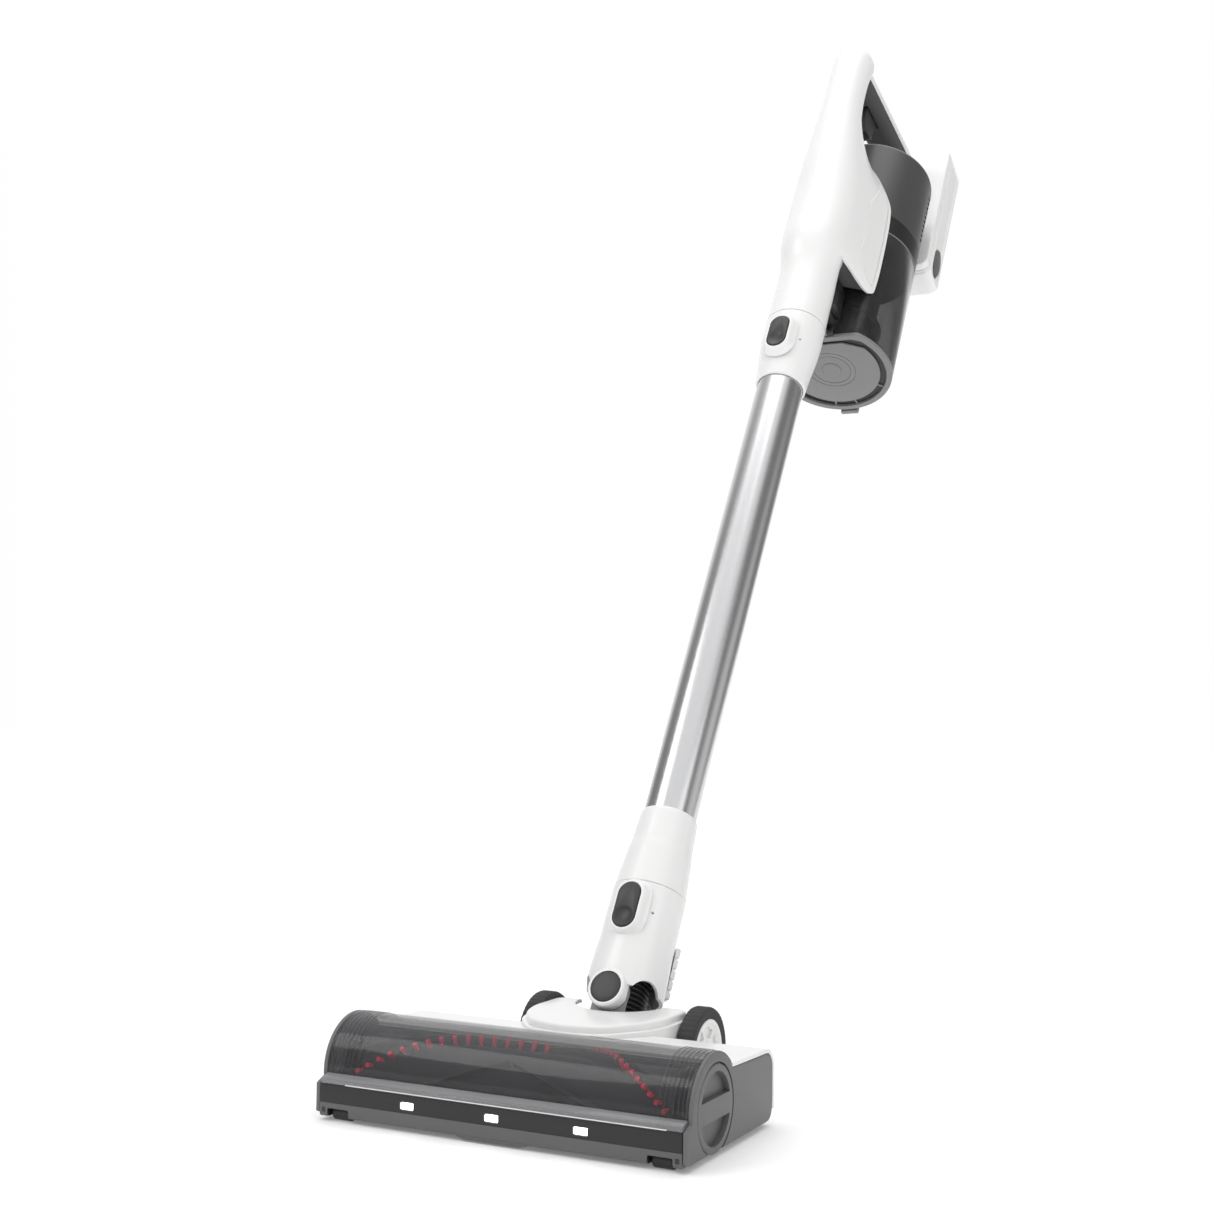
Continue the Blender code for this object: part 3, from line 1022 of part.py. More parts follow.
def motor_housing(frame, finish):
    """Dark grey cup over the motor, with exhaust slots towards the battery."""
    base, top = COLLAR_TOP + GAP, MOTOR_TOP
    outer, inner = CYLINDER_RADIUS, CYLINDER_RADIUS - MOTOR_WALL
    edge = 3 * MM
    outline = [(outer, base), (outer, top - edge), (outer - edge * 0.3, top - edge * 0.3),
               (outer - edge, top),
               (OUTLET_RADIUS, top), (OUTLET_RADIUS, top - MOTOR_WALL), (inner, top - MOTOR_WALL),
               (inner, base)]
    housing = turned("motor_housing", outline, frame, finish, CYLINDER_AXIS, segments=36)
    for side in (-1, 1):
        for i in range(VENT_COUNT):
            height = 836 * MM + i * 8 * MM
            angle = side * math.radians(104)
            direction = Vector((math.sin(angle), -math.cos(angle), 0))
            slot = block("vent", (-1.6 * MM, -2.8 * MM, -2.6 * MM), (1.6 * MM, 2.8 * MM, 2.6 * MM), frame)
            slot.data.transform(Matrix.Scale(3, 4, Vector((0, 1, 0))))
            place = Matrix.Translation(CYLINDER_AXIS + direction * outer + Z * height)
            slot.data.transform(place @ Matrix.Rotation(side * math.radians(104), 4,
                                                        "Z") @ Matrix.Rotation(math.radians(35), 4, "Y"))
            cut(housing, slot)
    return housing


def cyclone_collar(frame, finish):
    """Dark ring between the cup and the motor housing, with the shroud's seat."""
    base, top = CUP_TOP + GAP, COLLAR_TOP
    outer = CYLINDER_RADIUS
    seat = SHROUD_RADIUS + GAP
    outline = [(seat, base), (outer, base), (outer, top), (outer - 5 * MM, top),
               (outer - 5 * MM, base + 4 * MM),
               (seat, base + 4 * MM)]
    return turned("cyclone_collar", outline, frame, finish, CYLINDER_AXIS, segments=36)


def cyclone(frame, shroud_finish, cone_finish):
    """Perforated shroud with its skirt, and the cone inside it."""
    top = CUP_TOP + 5 * MM
    low = CUP_TOP - SHROUD_LENGTH
    wall = SHROUD_WALL
    radius = SHROUD_RADIUS
    outline = [(radius - wall, low), (radius + 5 * MM, low - 6 * MM), (radius + 6.5 * MM, low - 5 * MM),
               (radius, low + 4 * MM),
               (radius, top - 0.6 * MM), (radius + 2 * MM, top - 0.4 * MM), (radius + 2 * MM, top + 1 * MM),
               (radius - wall, top + 1 * MM)]
    shroud = turned("cyclone_shroud", outline, frame, shroud_finish, CYLINDER_AXIS, segments=28)
    cone_outline = [(9 * MM, low - 22 * MM), (CONE_RADIUS, low + 30 * MM), (CONE_RADIUS, top - 1.4 * MM),
                    (radius - wall - GAP, top - 1.4 * MM), (radius - wall - GAP, top + 1 * MM),
                    (CONE_RADIUS - 1.8 * MM, top + 1 * MM),
                    (CONE_RADIUS - 1.8 * MM, low + 30 * MM), (7.2 * MM, low - 22 * MM)]
    cone = turned("cyclone_cone", cone_outline, frame, cone_finish, CYLINDER_AXIS, segments=24)
    return shroud, cone


def d_cylinder(name, radius, flat, low, high, frame, finish=None, segments=36):
    """Cylinder about the cyclone's axis with its front cut flat."""
    body = cylinder(name, radius, low, high, frame, finish, CYLINDER_AXIS, Z, segments)
    return cut(body, block("flat", (-radius - 5 * MM, 0, low - 5 * MM), (radius + 5 * MM, flat,
                                                                         high + 5 * MM), frame))


def lid_hinge():
    """Hinge point of the cup's lid, on the flat side."""
    return Vector((0, CUP_FLAT - LID_HINGE_RADIUS - 0.4 * MM, CUP_BOTTOM - 1 * MM))


def dust_cup(frame, finish):
    """Clear cup, open at both ends, with the inlet in its flat and the hinge ears of its lid."""
    cup = d_cylinder("dust_cup", CYLINDER_RADIUS, CUP_FLAT, CUP_BOTTOM, CUP_TOP, frame, finish)
    cut(cup, d_cylinder("inside", CYLINDER_RADIUS - CUP_WALL, CUP_FLAT + CUP_WALL, CUP_BOTTOM - 1 * MM,
                        CUP_TOP + 1 * MM, frame))
    cut(cup, cylinder("inlet", INLET_RADIUS, CUP_FLAT - 2 * MM, CUP_FLAT + CUP_WALL + 2 * MM, frame,
                      at=(0, 0, INLET_HEIGHT),
                      axis=Y, segments=20))
    hinge = lid_hinge()
    for side in (-1, 1):
        a, b = sorted((side * 9.5 * MM, side * 15 * MM))
        ear = cylinder("ear", LID_HINGE_RADIUS, a, b, frame, at=hinge, axis=X, segments=16)
        join(ear, block("ear_root", (a, hinge.y - LID_HINGE_RADIUS * 0.7, hinge.z),
                        (b, CUP_FLAT - GAP, CUP_BOTTOM + 6 * MM), frame))
        join(ear, block("ear_foot", (a, CUP_FLAT - 1 * MM, CUP_BOTTOM), (b, CUP_FLAT + 0.8 * MM,
                                                                         CUP_BOTTOM + 6 * MM), frame))
        join(cup, ear)
    cut(cup, cylinder("pin_bore", LID_PIN_RADIUS + GAP, -20 * MM, 20 * MM, frame, at=hinge, axis=X,
                      segments=12))
    latch = latch_pivot()
    for side in (-1, 1):
        a, b = sorted((side * 8.5 * MM, side * 11 * MM))
        join(cup, block("latch_ear", (a, latch.y - 6 * MM, latch.z - 3 * MM),
                        (b, latch.y + 3 * MM, latch.z + 3 * MM), frame))
    return cup


def latch_pivot():
    """Pivot of the lid latch on the cup's back."""
    return Vector((0, CYLINDER_OFFSET + CYLINDER_RADIUS + 3 * MM, CUP_BOTTOM + 9 * MM))


def cup_lid(frame, lid_finish, seal_finish, pin_finish, latch_finish):
    """Hinged lid with its boss, the rubber seal, the hinge pin and the latch."""
    low = CUP_BOTTOM - LID_THICKNESS
    lid = d_cylinder("cup_lid", CYLINDER_RADIUS, CUP_FLAT, low, CUP_BOTTOM - GAP, frame, lid_finish)
    cut(lid, d_cylinder("lid_groove", CYLINDER_RADIUS - 5 * MM, CUP_FLAT + 5 * MM, low - 1 * MM,
                        low + 1.5 * MM, frame))
    join(lid, cylinder("lid_boss", 9 * MM, low - 0.5 * MM, low + 3 * MM, frame, at=CYLINDER_AXIS,
                       segments=20))
    hinge = lid_hinge()
    knuckle = cylinder("knuckle", LID_HINGE_RADIUS, -9 * MM, 9 * MM, frame, at=hinge, axis=X, segments=16)
    join(knuckle, block("knuckle_root", (-9 * MM, hinge.y, low + 0.5 * MM),
                        (9 * MM, CUP_FLAT + 1 * MM, CUP_BOTTOM - GAP - 0.4 * MM), frame))
    join(lid, knuckle)
    cut(lid, cylinder("pin_bore", LID_PIN_RADIUS + GAP, -10 * MM, 10 * MM, frame, at=hinge, axis=X,
                      segments=12))
    set_origin(lid, hinge)
    seal = d_cylinder("lid_seal", CYLINDER_RADIUS - CUP_WALL - GAP, CUP_FLAT + CUP_WALL + GAP, CUP_BOTTOM,
                      CUP_BOTTOM + 3 * MM, frame,
                      seal_finish)
    cut(seal, d_cylinder("seal_inside", CYLINDER_RADIUS - CUP_WALL - 4 * MM, CUP_FLAT + CUP_WALL + 4 * MM,
                         CUP_BOTTOM - 1 * MM,
                         CUP_BOTTOM + 4 * MM, frame))
    set_origin(seal, hinge)
    pin = cylinder("lid_pin", LID_PIN_RADIUS, -14.8 * MM, 14.8 * MM, frame, pin_finish, hinge, X, 12)
    pivot = latch_pivot()
    outline = [(pivot.y - 2 * MM, pivot.z + 3 * MM), (pivot.y + 2.5 * MM, pivot.z + 3 * MM),
               (pivot.y + 3.5 * MM, pivot.z - 4 * MM), (pivot.y + 3.5 * MM, low + 0.5 * MM),
               (pivot.y + 1.5 * MM, low - 0.6 * MM), (pivot.y - 2 * MM, low - 0.6 * MM)]
    latch = prism("lid_latch", outline, -8 * MM, 8 * MM, frame, latch_finish)
    set_origin(latch, pivot)
    return lid, seal, pin, latch


def inlet_duct(frame, finish):
    """Short dark duct from the spine to the cup's flat."""
    duct = tube("inlet_duct", INLET_RADIUS + 3 * MM, INLET_RADIUS, 18 * MM, CUP_FLAT - GAP, frame, finish,
                (0, 0, INLET_HEIGHT), Y, 24)
    return cut(duct, spine_solid("spine_room", frame, GAP + 0.1 * MM))


def motor(frame, can_finish, bearing_finish, fan_finish, mount_finish):
    """Motor can, two bearings, the impeller on its rotor and the rubber mount."""
    low, high = COLLAR_TOP + 33 * MM, COLLAR_TOP + 33 * MM + MOTOR_LENGTH
    seat, plate = 6 * MM, 4 * MM
    can_outline = [(seat, low), (MOTOR_RADIUS, low), (MOTOR_RADIUS, high), (seat, high), (seat, high - plate),
                   (MOTOR_RADIUS - 3 * MM, high - plate), (MOTOR_RADIUS - 3 * MM, low + plate),
                   (seat, low + plate)]
    can = turned("motor_can", can_outline, frame, can_finish, CYLINDER_AXIS, segments=24)
    rotor_radius = MOTOR_RADIUS - 3.6 * MM
    shaft = MOTOR_SHAFT_RADIUS
    shaft_low = low - GAP - IMPELLER_HEIGHT
    rotor_outline = [(0, shaft_low), (shaft, shaft_low), (shaft, low + plate + 1 * MM),
                     (rotor_radius, low + plate + 1 * MM),
                     (rotor_radius, high - plate - 1 * MM), (shaft, high - plate - 1 * MM), (shaft, high),
                     (0, high)]
    rotor = turned("rotor", rotor_outline, frame, None, CYLINDER_AXIS, segments=20)
    bearings = []
    for name, start in (("motor_bearing_lower", low + 0.2 * MM), ("motor_bearing_upper",
                                                                  high - plate + 0.2 * MM)):
        bearings.append(tube(name, seat - GAP, shaft + GAP, start, start + plate - 0.4 * MM, frame,
                             bearing_finish, CYLINDER_AXIS,
                             segments=16))
    fan_low, fan_high = low - GAP - IMPELLER_HEIGHT, low - 1 * MM
    sleeve = shaft + 1 * MM
    hub = [(0, fan_low - 1 * MM), (sleeve, fan_low - 1 * MM), (7 * MM, fan_low),
           (IMPELLER_RADIUS, fan_high - 1.6 * MM),
           (IMPELLER_RADIUS, fan_high), (sleeve, fan_high), (0, fan_high)]
    impeller = turned("impeller", hub, frame, fan_finish, CYLINDER_AXIS, segments=24)
    for i in range(IMPELLER_BLADES):
        blade = block("blade", (5 * MM, -0.6 * MM, fan_low + 0.5 * MM), (IMPELLER_RADIUS - 2 * MM, 0.6 * MM,
                                                                         fan_high - 0.8 * MM), frame)
        turn = Matrix.Rotation(math.tau * i / IMPELLER_BLADES, 4, "Z")
        blade.data.transform(Matrix.Translation(CYLINDER_AXIS) @ turn)
        join(impeller, blade)
    join(impeller, rotor)
    set_origin(impeller, CYLINDER_AXIS)
    mount_low = low + MOTOR_LENGTH / 2 - 2 * MM
    mount = tube("motor_mount", CYLINDER_RADIUS - MOTOR_WALL - GAP, MOTOR_RADIUS + GAP, mount_low,
                 mount_low + 4 * MM, frame,
                 mount_finish, CYLINDER_AXIS, segments=28)
    for i in range(5):
        angle = math.tau * i / 5
        centre = CYLINDER_AXIS + Vector((math.cos(angle), math.sin(angle),
                                         0)) * (MOTOR_RADIUS + CYLINDER_RADIUS) / 2
        cut(mount, cylinder("way", 8 * MM, mount_low - 1 * MM, mount_low + 5 * MM, frame, at=centre,
                            segments=12))
    return can, bearings, impeller, mount


def filters(frame, foam_finish, paper_finish):
    """Foam filter under the motor and the exhaust filter ring above its mount."""
    low = COLLAR_TOP + 1.5 * MM
    foam = tube("motor_filter", CYLINDER_RADIUS - MOTOR_WALL - GAP, 10 * MM, low, low + FILTER_THICKNESS,
                frame, foam_finish,
                CYLINDER_AXIS, segments=24)
    base = COLLAR_TOP + 33 * MM + MOTOR_LENGTH / 2 + 2 * MM + GAP
    ring = tube("exhaust_filter", CYLINDER_RADIUS - MOTOR_WALL - GAP, CYLINDER_RADIUS - MOTOR_WALL - 9 * MM,
                base,
                MOTOR_TOP - MOTOR_WALL - GAP, frame, paper_finish, CYLINDER_AXIS, segments=28)
    return foam, ring


def control_board(frame, finish):
    """Circuit board in the spine's hollow."""
    half = BOARD_WIDTH / 2
    return block("control_board", (-half, 5 * MM, BOARD_LOW), (half, 6.6 * MM, BOARD_LOW + BOARD_LENGTH),
                 frame, finish)


def battery_dock(frame, finish):
    """White frame plate behind the cylinder that carries the battery pack and the grip's foot."""
    half = BATTERY_WIDTH / 2
    outline = rounded((-half, BATTERY_BOTTOM), (half, BATTERY_TOP), BATTERY_CORNER, 4)
    return prism("battery_dock", outline, DOCK_FACE, DOCK_FACE + DOCK_THICKNESS, frame, finish, along="Y")


def battery_pack(frame, case_finish, plate_finish, cell_finish, button_finish):
    """Removable pack: case, front plate, cells and the two side buttons."""
    half = BATTERY_WIDTH / 2
    plate_front = DOCK_FACE + DOCK_THICKNESS + GAP
    plate_back = plate_front + 2.4 * MM
    outline = rounded((-half, BATTERY_BOTTOM), (half, BATTERY_TOP), BATTERY_CORNER, 4)
    plate = prism("battery_plate", outline, plate_front, plate_back, frame, plate_finish, along="Y")
    case = prism("battery_case", outline, plate_back + GAP, BATTERY_BACK, frame, case_finish, along="Y")
    wall = BATTERY_WALL
    inner = rounded((-half + wall, BATTERY_BOTTOM + wall), (half - wall, BATTERY_TOP - wall),
                    BATTERY_CORNER - wall, 4)
    cut(case, prism("case_inside", inner, plate_back, BATTERY_BACK - wall, frame, along="Y"))
    depth = (plate_back + BATTERY_BACK) / 2
    button_centre = BATTERY_BOTTOM + 27 * MM
    buttons = []
    for side in (-1, 1):
        word = "left" if side < 0 else "right"
        a, b = sorted((side * (half - wall - 3.6 * MM), side * (half + 0.8 * MM)))
        hole = [(depth + y, button_centre + z) for y, z in ellipse(PACK_BUTTON_HEIGHT / 2 + GAP,
                                                                   PACK_BUTTON_LENGTH / 2 + GAP)]
        cut(case, prism("button_hole", hole, min(a, b) - 1 * MM, max(a, b) + 1 * MM, frame))
        shape = [(depth + y, button_centre + z) for y, z in ellipse(PACK_BUTTON_HEIGHT / 2,
                                                                    PACK_BUTTON_LENGTH / 2)]
        button = prism(f"battery_button_{word}", shape, a, b, frame, button_finish)
        buttons.append(set_origin(button, (side * half, depth, button_centre)))
    return case, plate, battery_cells(frame, cell_finish, depth), buttons


def ellipse(half_a, half_b, steps=20):
    """Outline of an ellipse about the origin."""
    return [(half_a * math.cos(math.tau * i / steps),
             half_b * math.sin(math.tau * i / steps)) for i in range(steps)]


def battery_cells(frame, finish, depth):
    """Block of cells with the nickel strips that join them."""
    pitch = 2 * CELL_RADIUS + 0.8 * MM
    cells = None
    base = BATTERY_TOP - BATTERY_WALL - 1 * MM - CELL_ROWS * (CELL_LENGTH + 1 * MM)
    for row in range(CELL_ROWS):
        low = base + row * (CELL_LENGTH + 1 * MM)
        for column in range(CELL_COLUMNS):
            x = (column - (CELL_COLUMNS - 1) / 2) * pitch
            cell = cylinder("cell", CELL_RADIUS, low, low + CELL_LENGTH, frame, finish, (x, depth, 0), Z, 12)
            if cells is None:
                cells = cell
                cells.name = "battery_cells"
            else:
                join(cells, cell)
    reach = (CELL_COLUMNS - 1) * pitch / 2
    for row in range(CELL_ROWS):
        middle = base + row * (CELL_LENGTH + 1 * MM) + CELL_LENGTH / 2
        join(cells, block("strip", (-reach, depth - 3 * MM, middle - 4 * MM),
                          (reach, depth + 3 * MM, middle + 4 * MM), frame))
    join(cells, block("link", (-3 * MM, depth - 3 * MM, base + CELL_LENGTH - 4 * MM),
                      (3 * MM, depth + 3 * MM, base + CELL_LENGTH + 5 * MM), frame))
    fill = BATTERY_BACK - BATTERY_WALL - GAP
    join(cells, block("foam_pad", (-reach, depth, base + 20 * MM), (reach, fill, base + 30 * MM), frame))
    return cells


# ---------------------------------------------------------------- the whole object

def build():
    """Build every sub-part in its frame, then stand the object on the origin."""
    clear_scene()
    white = material("white_plastic", (0.86, 0.86, 0.86), 0.35)
    hard_white = material("white_trim", (0.80, 0.80, 0.80), 0.40)
    dark = material("dark_grey_plastic", (0.045, 0.045, 0.047), 0.45)
    mid = material("mid_grey_plastic", (0.13, 0.13, 0.13), 0.45)
    light = material("light_grey_plastic", (0.30, 0.30, 0.30), 0.45)
    black = material("black_plastic", (0.02, 0.02, 0.02), 0.50)
    rubber = material("black_rubber", (0.025, 0.025, 0.025), 0.70)
    soft = material("soft_grip", (0.05, 0.05, 0.052), 0.65)
    smoke = material("smoked_clear", (0.10, 0.10, 0.10), 0.08, 0.0, 0.35)
    lens = material("led_lens", (0.95, 0.95, 0.95), 0.10)
    steel = material("brushed_steel", (0.62, 0.62, 0.62), 0.28, 1.0)
    bristle = material("brush_fibre", (0.10, 0.10, 0.10), 0.80)
    foam = material("filter_foam", (0.25, 0.25, 0.26), 0.95)
    paper = material("filter_paper", (0.75, 0.75, 0.72), 0.90)
    board = material("circuit_board", (0.02, 0.10, 0.05), 0.50)
    cell = material("cell_wrap", (0.05, 0.16, 0.30), 0.45)

    vacuum = empty("stick_vacuum")
    head = empty("head_frame", parent=vacuum)
    wand_frame = empty("wand_frame", (0, 0, PIVOT_HEIGHT), (-LEAN, 0, 0), vacuum)

    hinge_arms(head_chassis(head, dark), head)
    sole_plate(head, light)
    head_cover(head, white)
    clear_window(head, smoke)
    brush_roll(head, bristle)
    roll_end_cap(head, dark, steel)
    brush_drive(head, black, rubber, steel)
    headlight_bar(head, lens)
    for side, word in ((-1, "left"), (1, "right")):
        side_panel(f"side_panel_{word}", side, head, mid)
        front_roller(f"front_roller_{word}", side, head, mid)
        wheel(side, head, rubber, hard_white)

    tilt_barrel(wand_frame, light)
    air_hose(wand_frame, rubber)
    neck_shell(wand_frame, white)
    neck_collar(wand_frame, white)
    swivel_pins(wand_frame, steel, dark)
    neck_rear_cover(wand_frame, hard_white)
    release_button("neck_button", NECK_BUTTON, NECK_BUTTON_FACE, wand_frame, dark)
    wand(wand_frame, steel, black)

    main_shell(wand_frame, white)
    socket_collar(wand_frame, white)
    release_button("socket_button", SOCKET_BUTTON, SOCKET_BUTTON_FACE, wand_frame, dark)
    grip_front(wand_frame, soft)
    trigger(wand_frame, dark)
    motor_housing(wand_frame, dark)
    cyclone_collar(wand_frame, black)
    cyclone(wand_frame, dark, mid)
    dust_cup(wand_frame, smoke)
    cup_lid(wand_frame, light, rubber, steel, light)
    inlet_duct(wand_frame, black)
    motor(wand_frame, steel, steel, dark, rubber)
    filters(wand_frame, foam, paper)
    control_board(wand_frame, board)
    battery_dock(wand_frame, white)
    battery_pack(wand_frame, white, white, cell, mid)
    stand_on_origin(vacuum)


def stand_on_origin(vacuum):
    """Shift the object so that its box is centred on the origin in X and Y, with its foot at zero."""
    bpy.context.view_layer.update()
    corners = [thing.matrix_world @ vertex.co for thing in bpy.data.objects if thing.type == "MESH"
               for vertex in thing.data.vertices]
    low = [min(corner[i] for corner in corners) for i in range(3)]
    high = [max(corner[i] for corner in corners) for i in range(3)]
    vacuum.location = (-(low[0] + high[0]) / 2, -(low[1] + high[1]) / 2, -low[2])
    bpy.context.view_layer.update()


build()
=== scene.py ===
"""Finishes and fine shapes of a cordless stick vacuum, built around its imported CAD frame.

Sizes are in millimetres in two local frames. The head frame has its Y origin at the tilt hinge
and its Z origin on the floor. The wand frame has its origin at the swivel pivot, Z up the wand
and Y towards the wand's underside.
"""

import json
import logging
import math
from dataclasses import dataclass, field
from enum import Enum

import bmesh
import bpy
from mathutils import Matrix, Vector


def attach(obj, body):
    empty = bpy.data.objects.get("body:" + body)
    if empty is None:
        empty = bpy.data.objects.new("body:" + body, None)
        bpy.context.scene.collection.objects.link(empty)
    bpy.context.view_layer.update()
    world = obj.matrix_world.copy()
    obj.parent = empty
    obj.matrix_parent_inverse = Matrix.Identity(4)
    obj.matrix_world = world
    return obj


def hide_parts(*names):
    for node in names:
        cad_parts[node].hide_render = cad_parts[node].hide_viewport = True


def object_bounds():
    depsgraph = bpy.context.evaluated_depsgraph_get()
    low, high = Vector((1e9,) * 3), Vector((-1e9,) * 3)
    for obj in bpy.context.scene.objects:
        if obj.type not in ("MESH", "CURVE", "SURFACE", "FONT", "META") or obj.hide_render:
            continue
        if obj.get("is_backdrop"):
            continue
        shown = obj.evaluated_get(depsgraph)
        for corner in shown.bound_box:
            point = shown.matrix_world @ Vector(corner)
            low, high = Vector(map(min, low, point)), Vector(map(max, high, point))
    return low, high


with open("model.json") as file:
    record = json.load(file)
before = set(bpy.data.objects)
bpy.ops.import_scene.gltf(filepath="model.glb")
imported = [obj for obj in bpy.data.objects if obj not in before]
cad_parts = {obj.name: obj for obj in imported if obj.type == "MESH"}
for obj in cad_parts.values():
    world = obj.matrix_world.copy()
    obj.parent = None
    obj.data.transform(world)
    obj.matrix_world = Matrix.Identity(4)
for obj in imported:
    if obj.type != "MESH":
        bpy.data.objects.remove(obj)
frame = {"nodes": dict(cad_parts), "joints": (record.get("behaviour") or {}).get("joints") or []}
log = logging.getLogger("vacuum")
Point = tuple[float, float]
Colour = tuple[float, float, float]

LEAN = math.radians(31.4)
FAIR = 96                            # segments round a large turned piece
FINE = 48                            # segments round a small turned piece
X, Y, Z = Vector((1, 0, 0)), Vector((0, 1, 0)), Vector((0, 0, 1))


def joint_place(name: str) -> Vector:
    """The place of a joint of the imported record, in metres."""
    found = next(joint for joint in frame["joints"] if joint["name"] == name)
    return Vector(found["pos_m"])


MILLI = Matrix.Scale(0.001, 4)
HEAD = Matrix.Translation((0, joint_place("head_tilt").y, 0)) @ MILLI
WAND = Matrix.Translation(joint_place("neck_swivel")) @ Matrix.Rotation(-LEAN, 4, "X") @ MILLI


# ---------------------------------------------------------------- shader maths and nodes

class Field:
    """A shader socket that takes part in Python arithmetic."""

    def __init__(self, shader: "Shader", socket: bpy.types.NodeSocket) -> None:
        """Keep the socket and the material it belongs to."""
        self.shader = shader
        self.socket = socket

    def _math(self, operation: str, first: object, second: object) -> "Field":
        """Add one Math node.

        Args:
            operation: the node's operation.
            first: the first value or field.
            second: the second value or field.
        Returns:
            The node's result.
        """
        return self.shader.node("ShaderNodeMath", {"operation": operation}, {0: first, 1: second})

    def __add__(self, other: object) -> "Field":
        """Sum."""
        return self._math("ADD", self, other)

    __radd__ = __add__

    def __mul__(self, other: object) -> "Field":
        """Product."""
        return self._math("MULTIPLY", self, other)

    __rmul__ = __mul__

    def __sub__(self, other: object) -> "Field":
        """Difference."""
        return self._math("SUBTRACT", self, other)

    def __rsub__(self, other: object) -> "Field":
        """Difference from a number."""
        return self._math("SUBTRACT", other, self)


class Shader:
    """One material and the nodes in it."""

    def __init__(self, name: str) -> None:
        """Start a material with its Principled shader."""
        self.material = bpy.data.materials.new(name)
        self.material.use_nodes = True
        self.tree = self.material.node_tree
        self.surface = self.tree.nodes["Principled BSDF"]

    def node(self, kind: str, settings: dict | None = None, values: dict | None = None,
             out: object = 0) -> Field:
        """Add a node.

        Args:
            kind: the node's type.
            settings: attributes that are set first; "stops" holds a ramp's places and colours.
            values: numbers, colours or fields for the inputs, by name or number.
            out: the output that is returned.
        Returns:
            That output as a field.
        """
        made = self.tree.nodes.new(kind)
        for key, value in (settings or {}).items():
            if key == "stops":
                self._stops(made, value)
            else:
                setattr(made, key, value)
        for key, value in (values or {}).items():
            self.join(value, made.inputs[key])
        return Field(self, made.outputs[out])

    def _stops(self, ramp: bpy.types.Node, stops: list[tuple[float, Colour]]) -> None:
        """Set a ramp's stops."""
        elements = ramp.color_ramp.elements
        while len(elements) < len(stops):
            elements.new(0.5)
        for element, (place, colour) in zip(elements, stops):
            element.position = place
            element.color = (*colour, 1)

    def join(self, value: object, socket: bpy.types.NodeSocket) -> None:
        """Link a field to a socket, or set the socket to a value."""
        if isinstance(value, Field):
            self.tree.links.new(value.socket, socket)
        else:
            socket.default_value = value

    def set(self, **values: object) -> None:
        """Set or link inputs of the Principled shader; underscores stand for spaces."""
        for key, value in values.items():
            self.join(value, self.surface.inputs[key.replace("_", " ")])

    def place(self, turn: tuple[float, float, float] = (0, 0, 0), scale: Colour = (1, 1, 1)) -> Field:
        """Object coordinates, turned and stretched for a pattern."""
        source = self.node("ShaderNodeTexCoord", out="Object")
        return self.node("ShaderNodeMapping", {}, {"Vector": source, "Rotation": turn, "Scale": scale})

    def noise(self, where: Field, scale: float, detail: float = 2.0) -> Field:
        """Cloudy noise between 0 and 1."""
        return self.node("ShaderNodeTexNoise", {}, {"Vector": where, "Scale": scale, "Detail": detail})

    def blend(self, share: Field, low: Colour, high: Colour) -> Field:
        """A colour between two, by a share."""
        return self.node("ShaderNodeMix", {"data_type": "RGBA"}, {0: share, 6: (*low, 1), 7: (*high, 1)}, 2)

    def relief(self, height: Field, strength: float, distance: float) -> None:
        """Raise the surface by a height field."""
        self.set(Normal=self.node("ShaderNodeBump", {}, {"Strength": strength, "Distance": distance,
                                                         "Height": height}))


@dataclass(frozen=True)
class Moulded:
    """Moulded plastic or rubber: a fine spark-eroded grain, with faint changes of tone and gloss."""

    name: str
    slot: str
    colour: Colour
    roughness: float
    grain: float = 0.12
    size: float = 1500.0
    drift: float = 0.05
    coat: float = 0.0
    glow: float = 0.0

    def make(self) -> bpy.types.Material:
        """Build the material."""
        shader = Shader(self.name)
        where = shader.place()
        cloud = shader.noise(where, 14, 3)
        fine = shader.noise(where, self.size, 2)
        dim = tuple(channel * (1 - self.drift) for channel in self.colour)
        shader.set(Base_Color=shader.blend(cloud, dim, self.colour))
        shader.set(Roughness=cloud * 0.08 + fine * 0.06 + (self.roughness - 0.07))
        shader.set(Coat_Weight=self.coat, Coat_Roughness=0.12)
        if self.glow:
            shader.set(Emission_Color=(*self.colour, 1), Emission_Strength=self.glow)
        shader.relief(fine, self.grain, 0.00006)
        return shader.material


@dataclass(frozen=True)
class SmokedClear:
    """Clear moulded plastic with a smoke tint, denser where it is seen edge on."""

    name: str
    slot: str
    colour: Colour
    body: float
    edge: float
    roughness: float = 0.06

    def make(self) -> bpy.types.Material:
        """Build the material."""
        shader = Shader(self.name)
        where = shader.place()
        cloud = shader.noise(where, 22, 2)
        facing = shader.node("ShaderNodeLayerWeight", {}, {"Blend": 0.35}, "Facing")
        lift = tuple(min(1.0, channel * 1.3) for channel in self.colour)
        shader.set(Base_Color=shader.blend(cloud, self.colour, lift))
        shader.set(Alpha=facing * (self.edge - self.body) + self.body)
        shader.set(Roughness=cloud * 0.04 + self.roughness)
        shader.set(IOR=1.5, Coat_Weight=0.4, Coat_Roughness=0.03)
        shader.relief(cloud, 0.05, 0.0004)
        return shader.material


@dataclass(frozen=True)
class SatinSteel:
    """Drawn steel with fine streaks along the wand."""

    name: str
    slot: str
    colour: Colour
    roughness: float
    turn: float = LEAN

    def make(self) -> bpy.types.Material:
        """Build the material."""
        shader = Shader(self.name)
        where = shader.place((self.turn, 0, 0), (1, 1, 0.012))
        streak = shader.noise(where, 900, 3)
        dim = tuple(channel * 0.9 for channel in self.colour)
        shader.set(Base_Color=shader.blend(streak, dim, self.colour))
        shader.set(Metallic=1.0, Roughness=streak * 0.12 + (self.roughness - 0.06))
        shader.relief(streak, 0.10, 0.00003)
        return shader.material


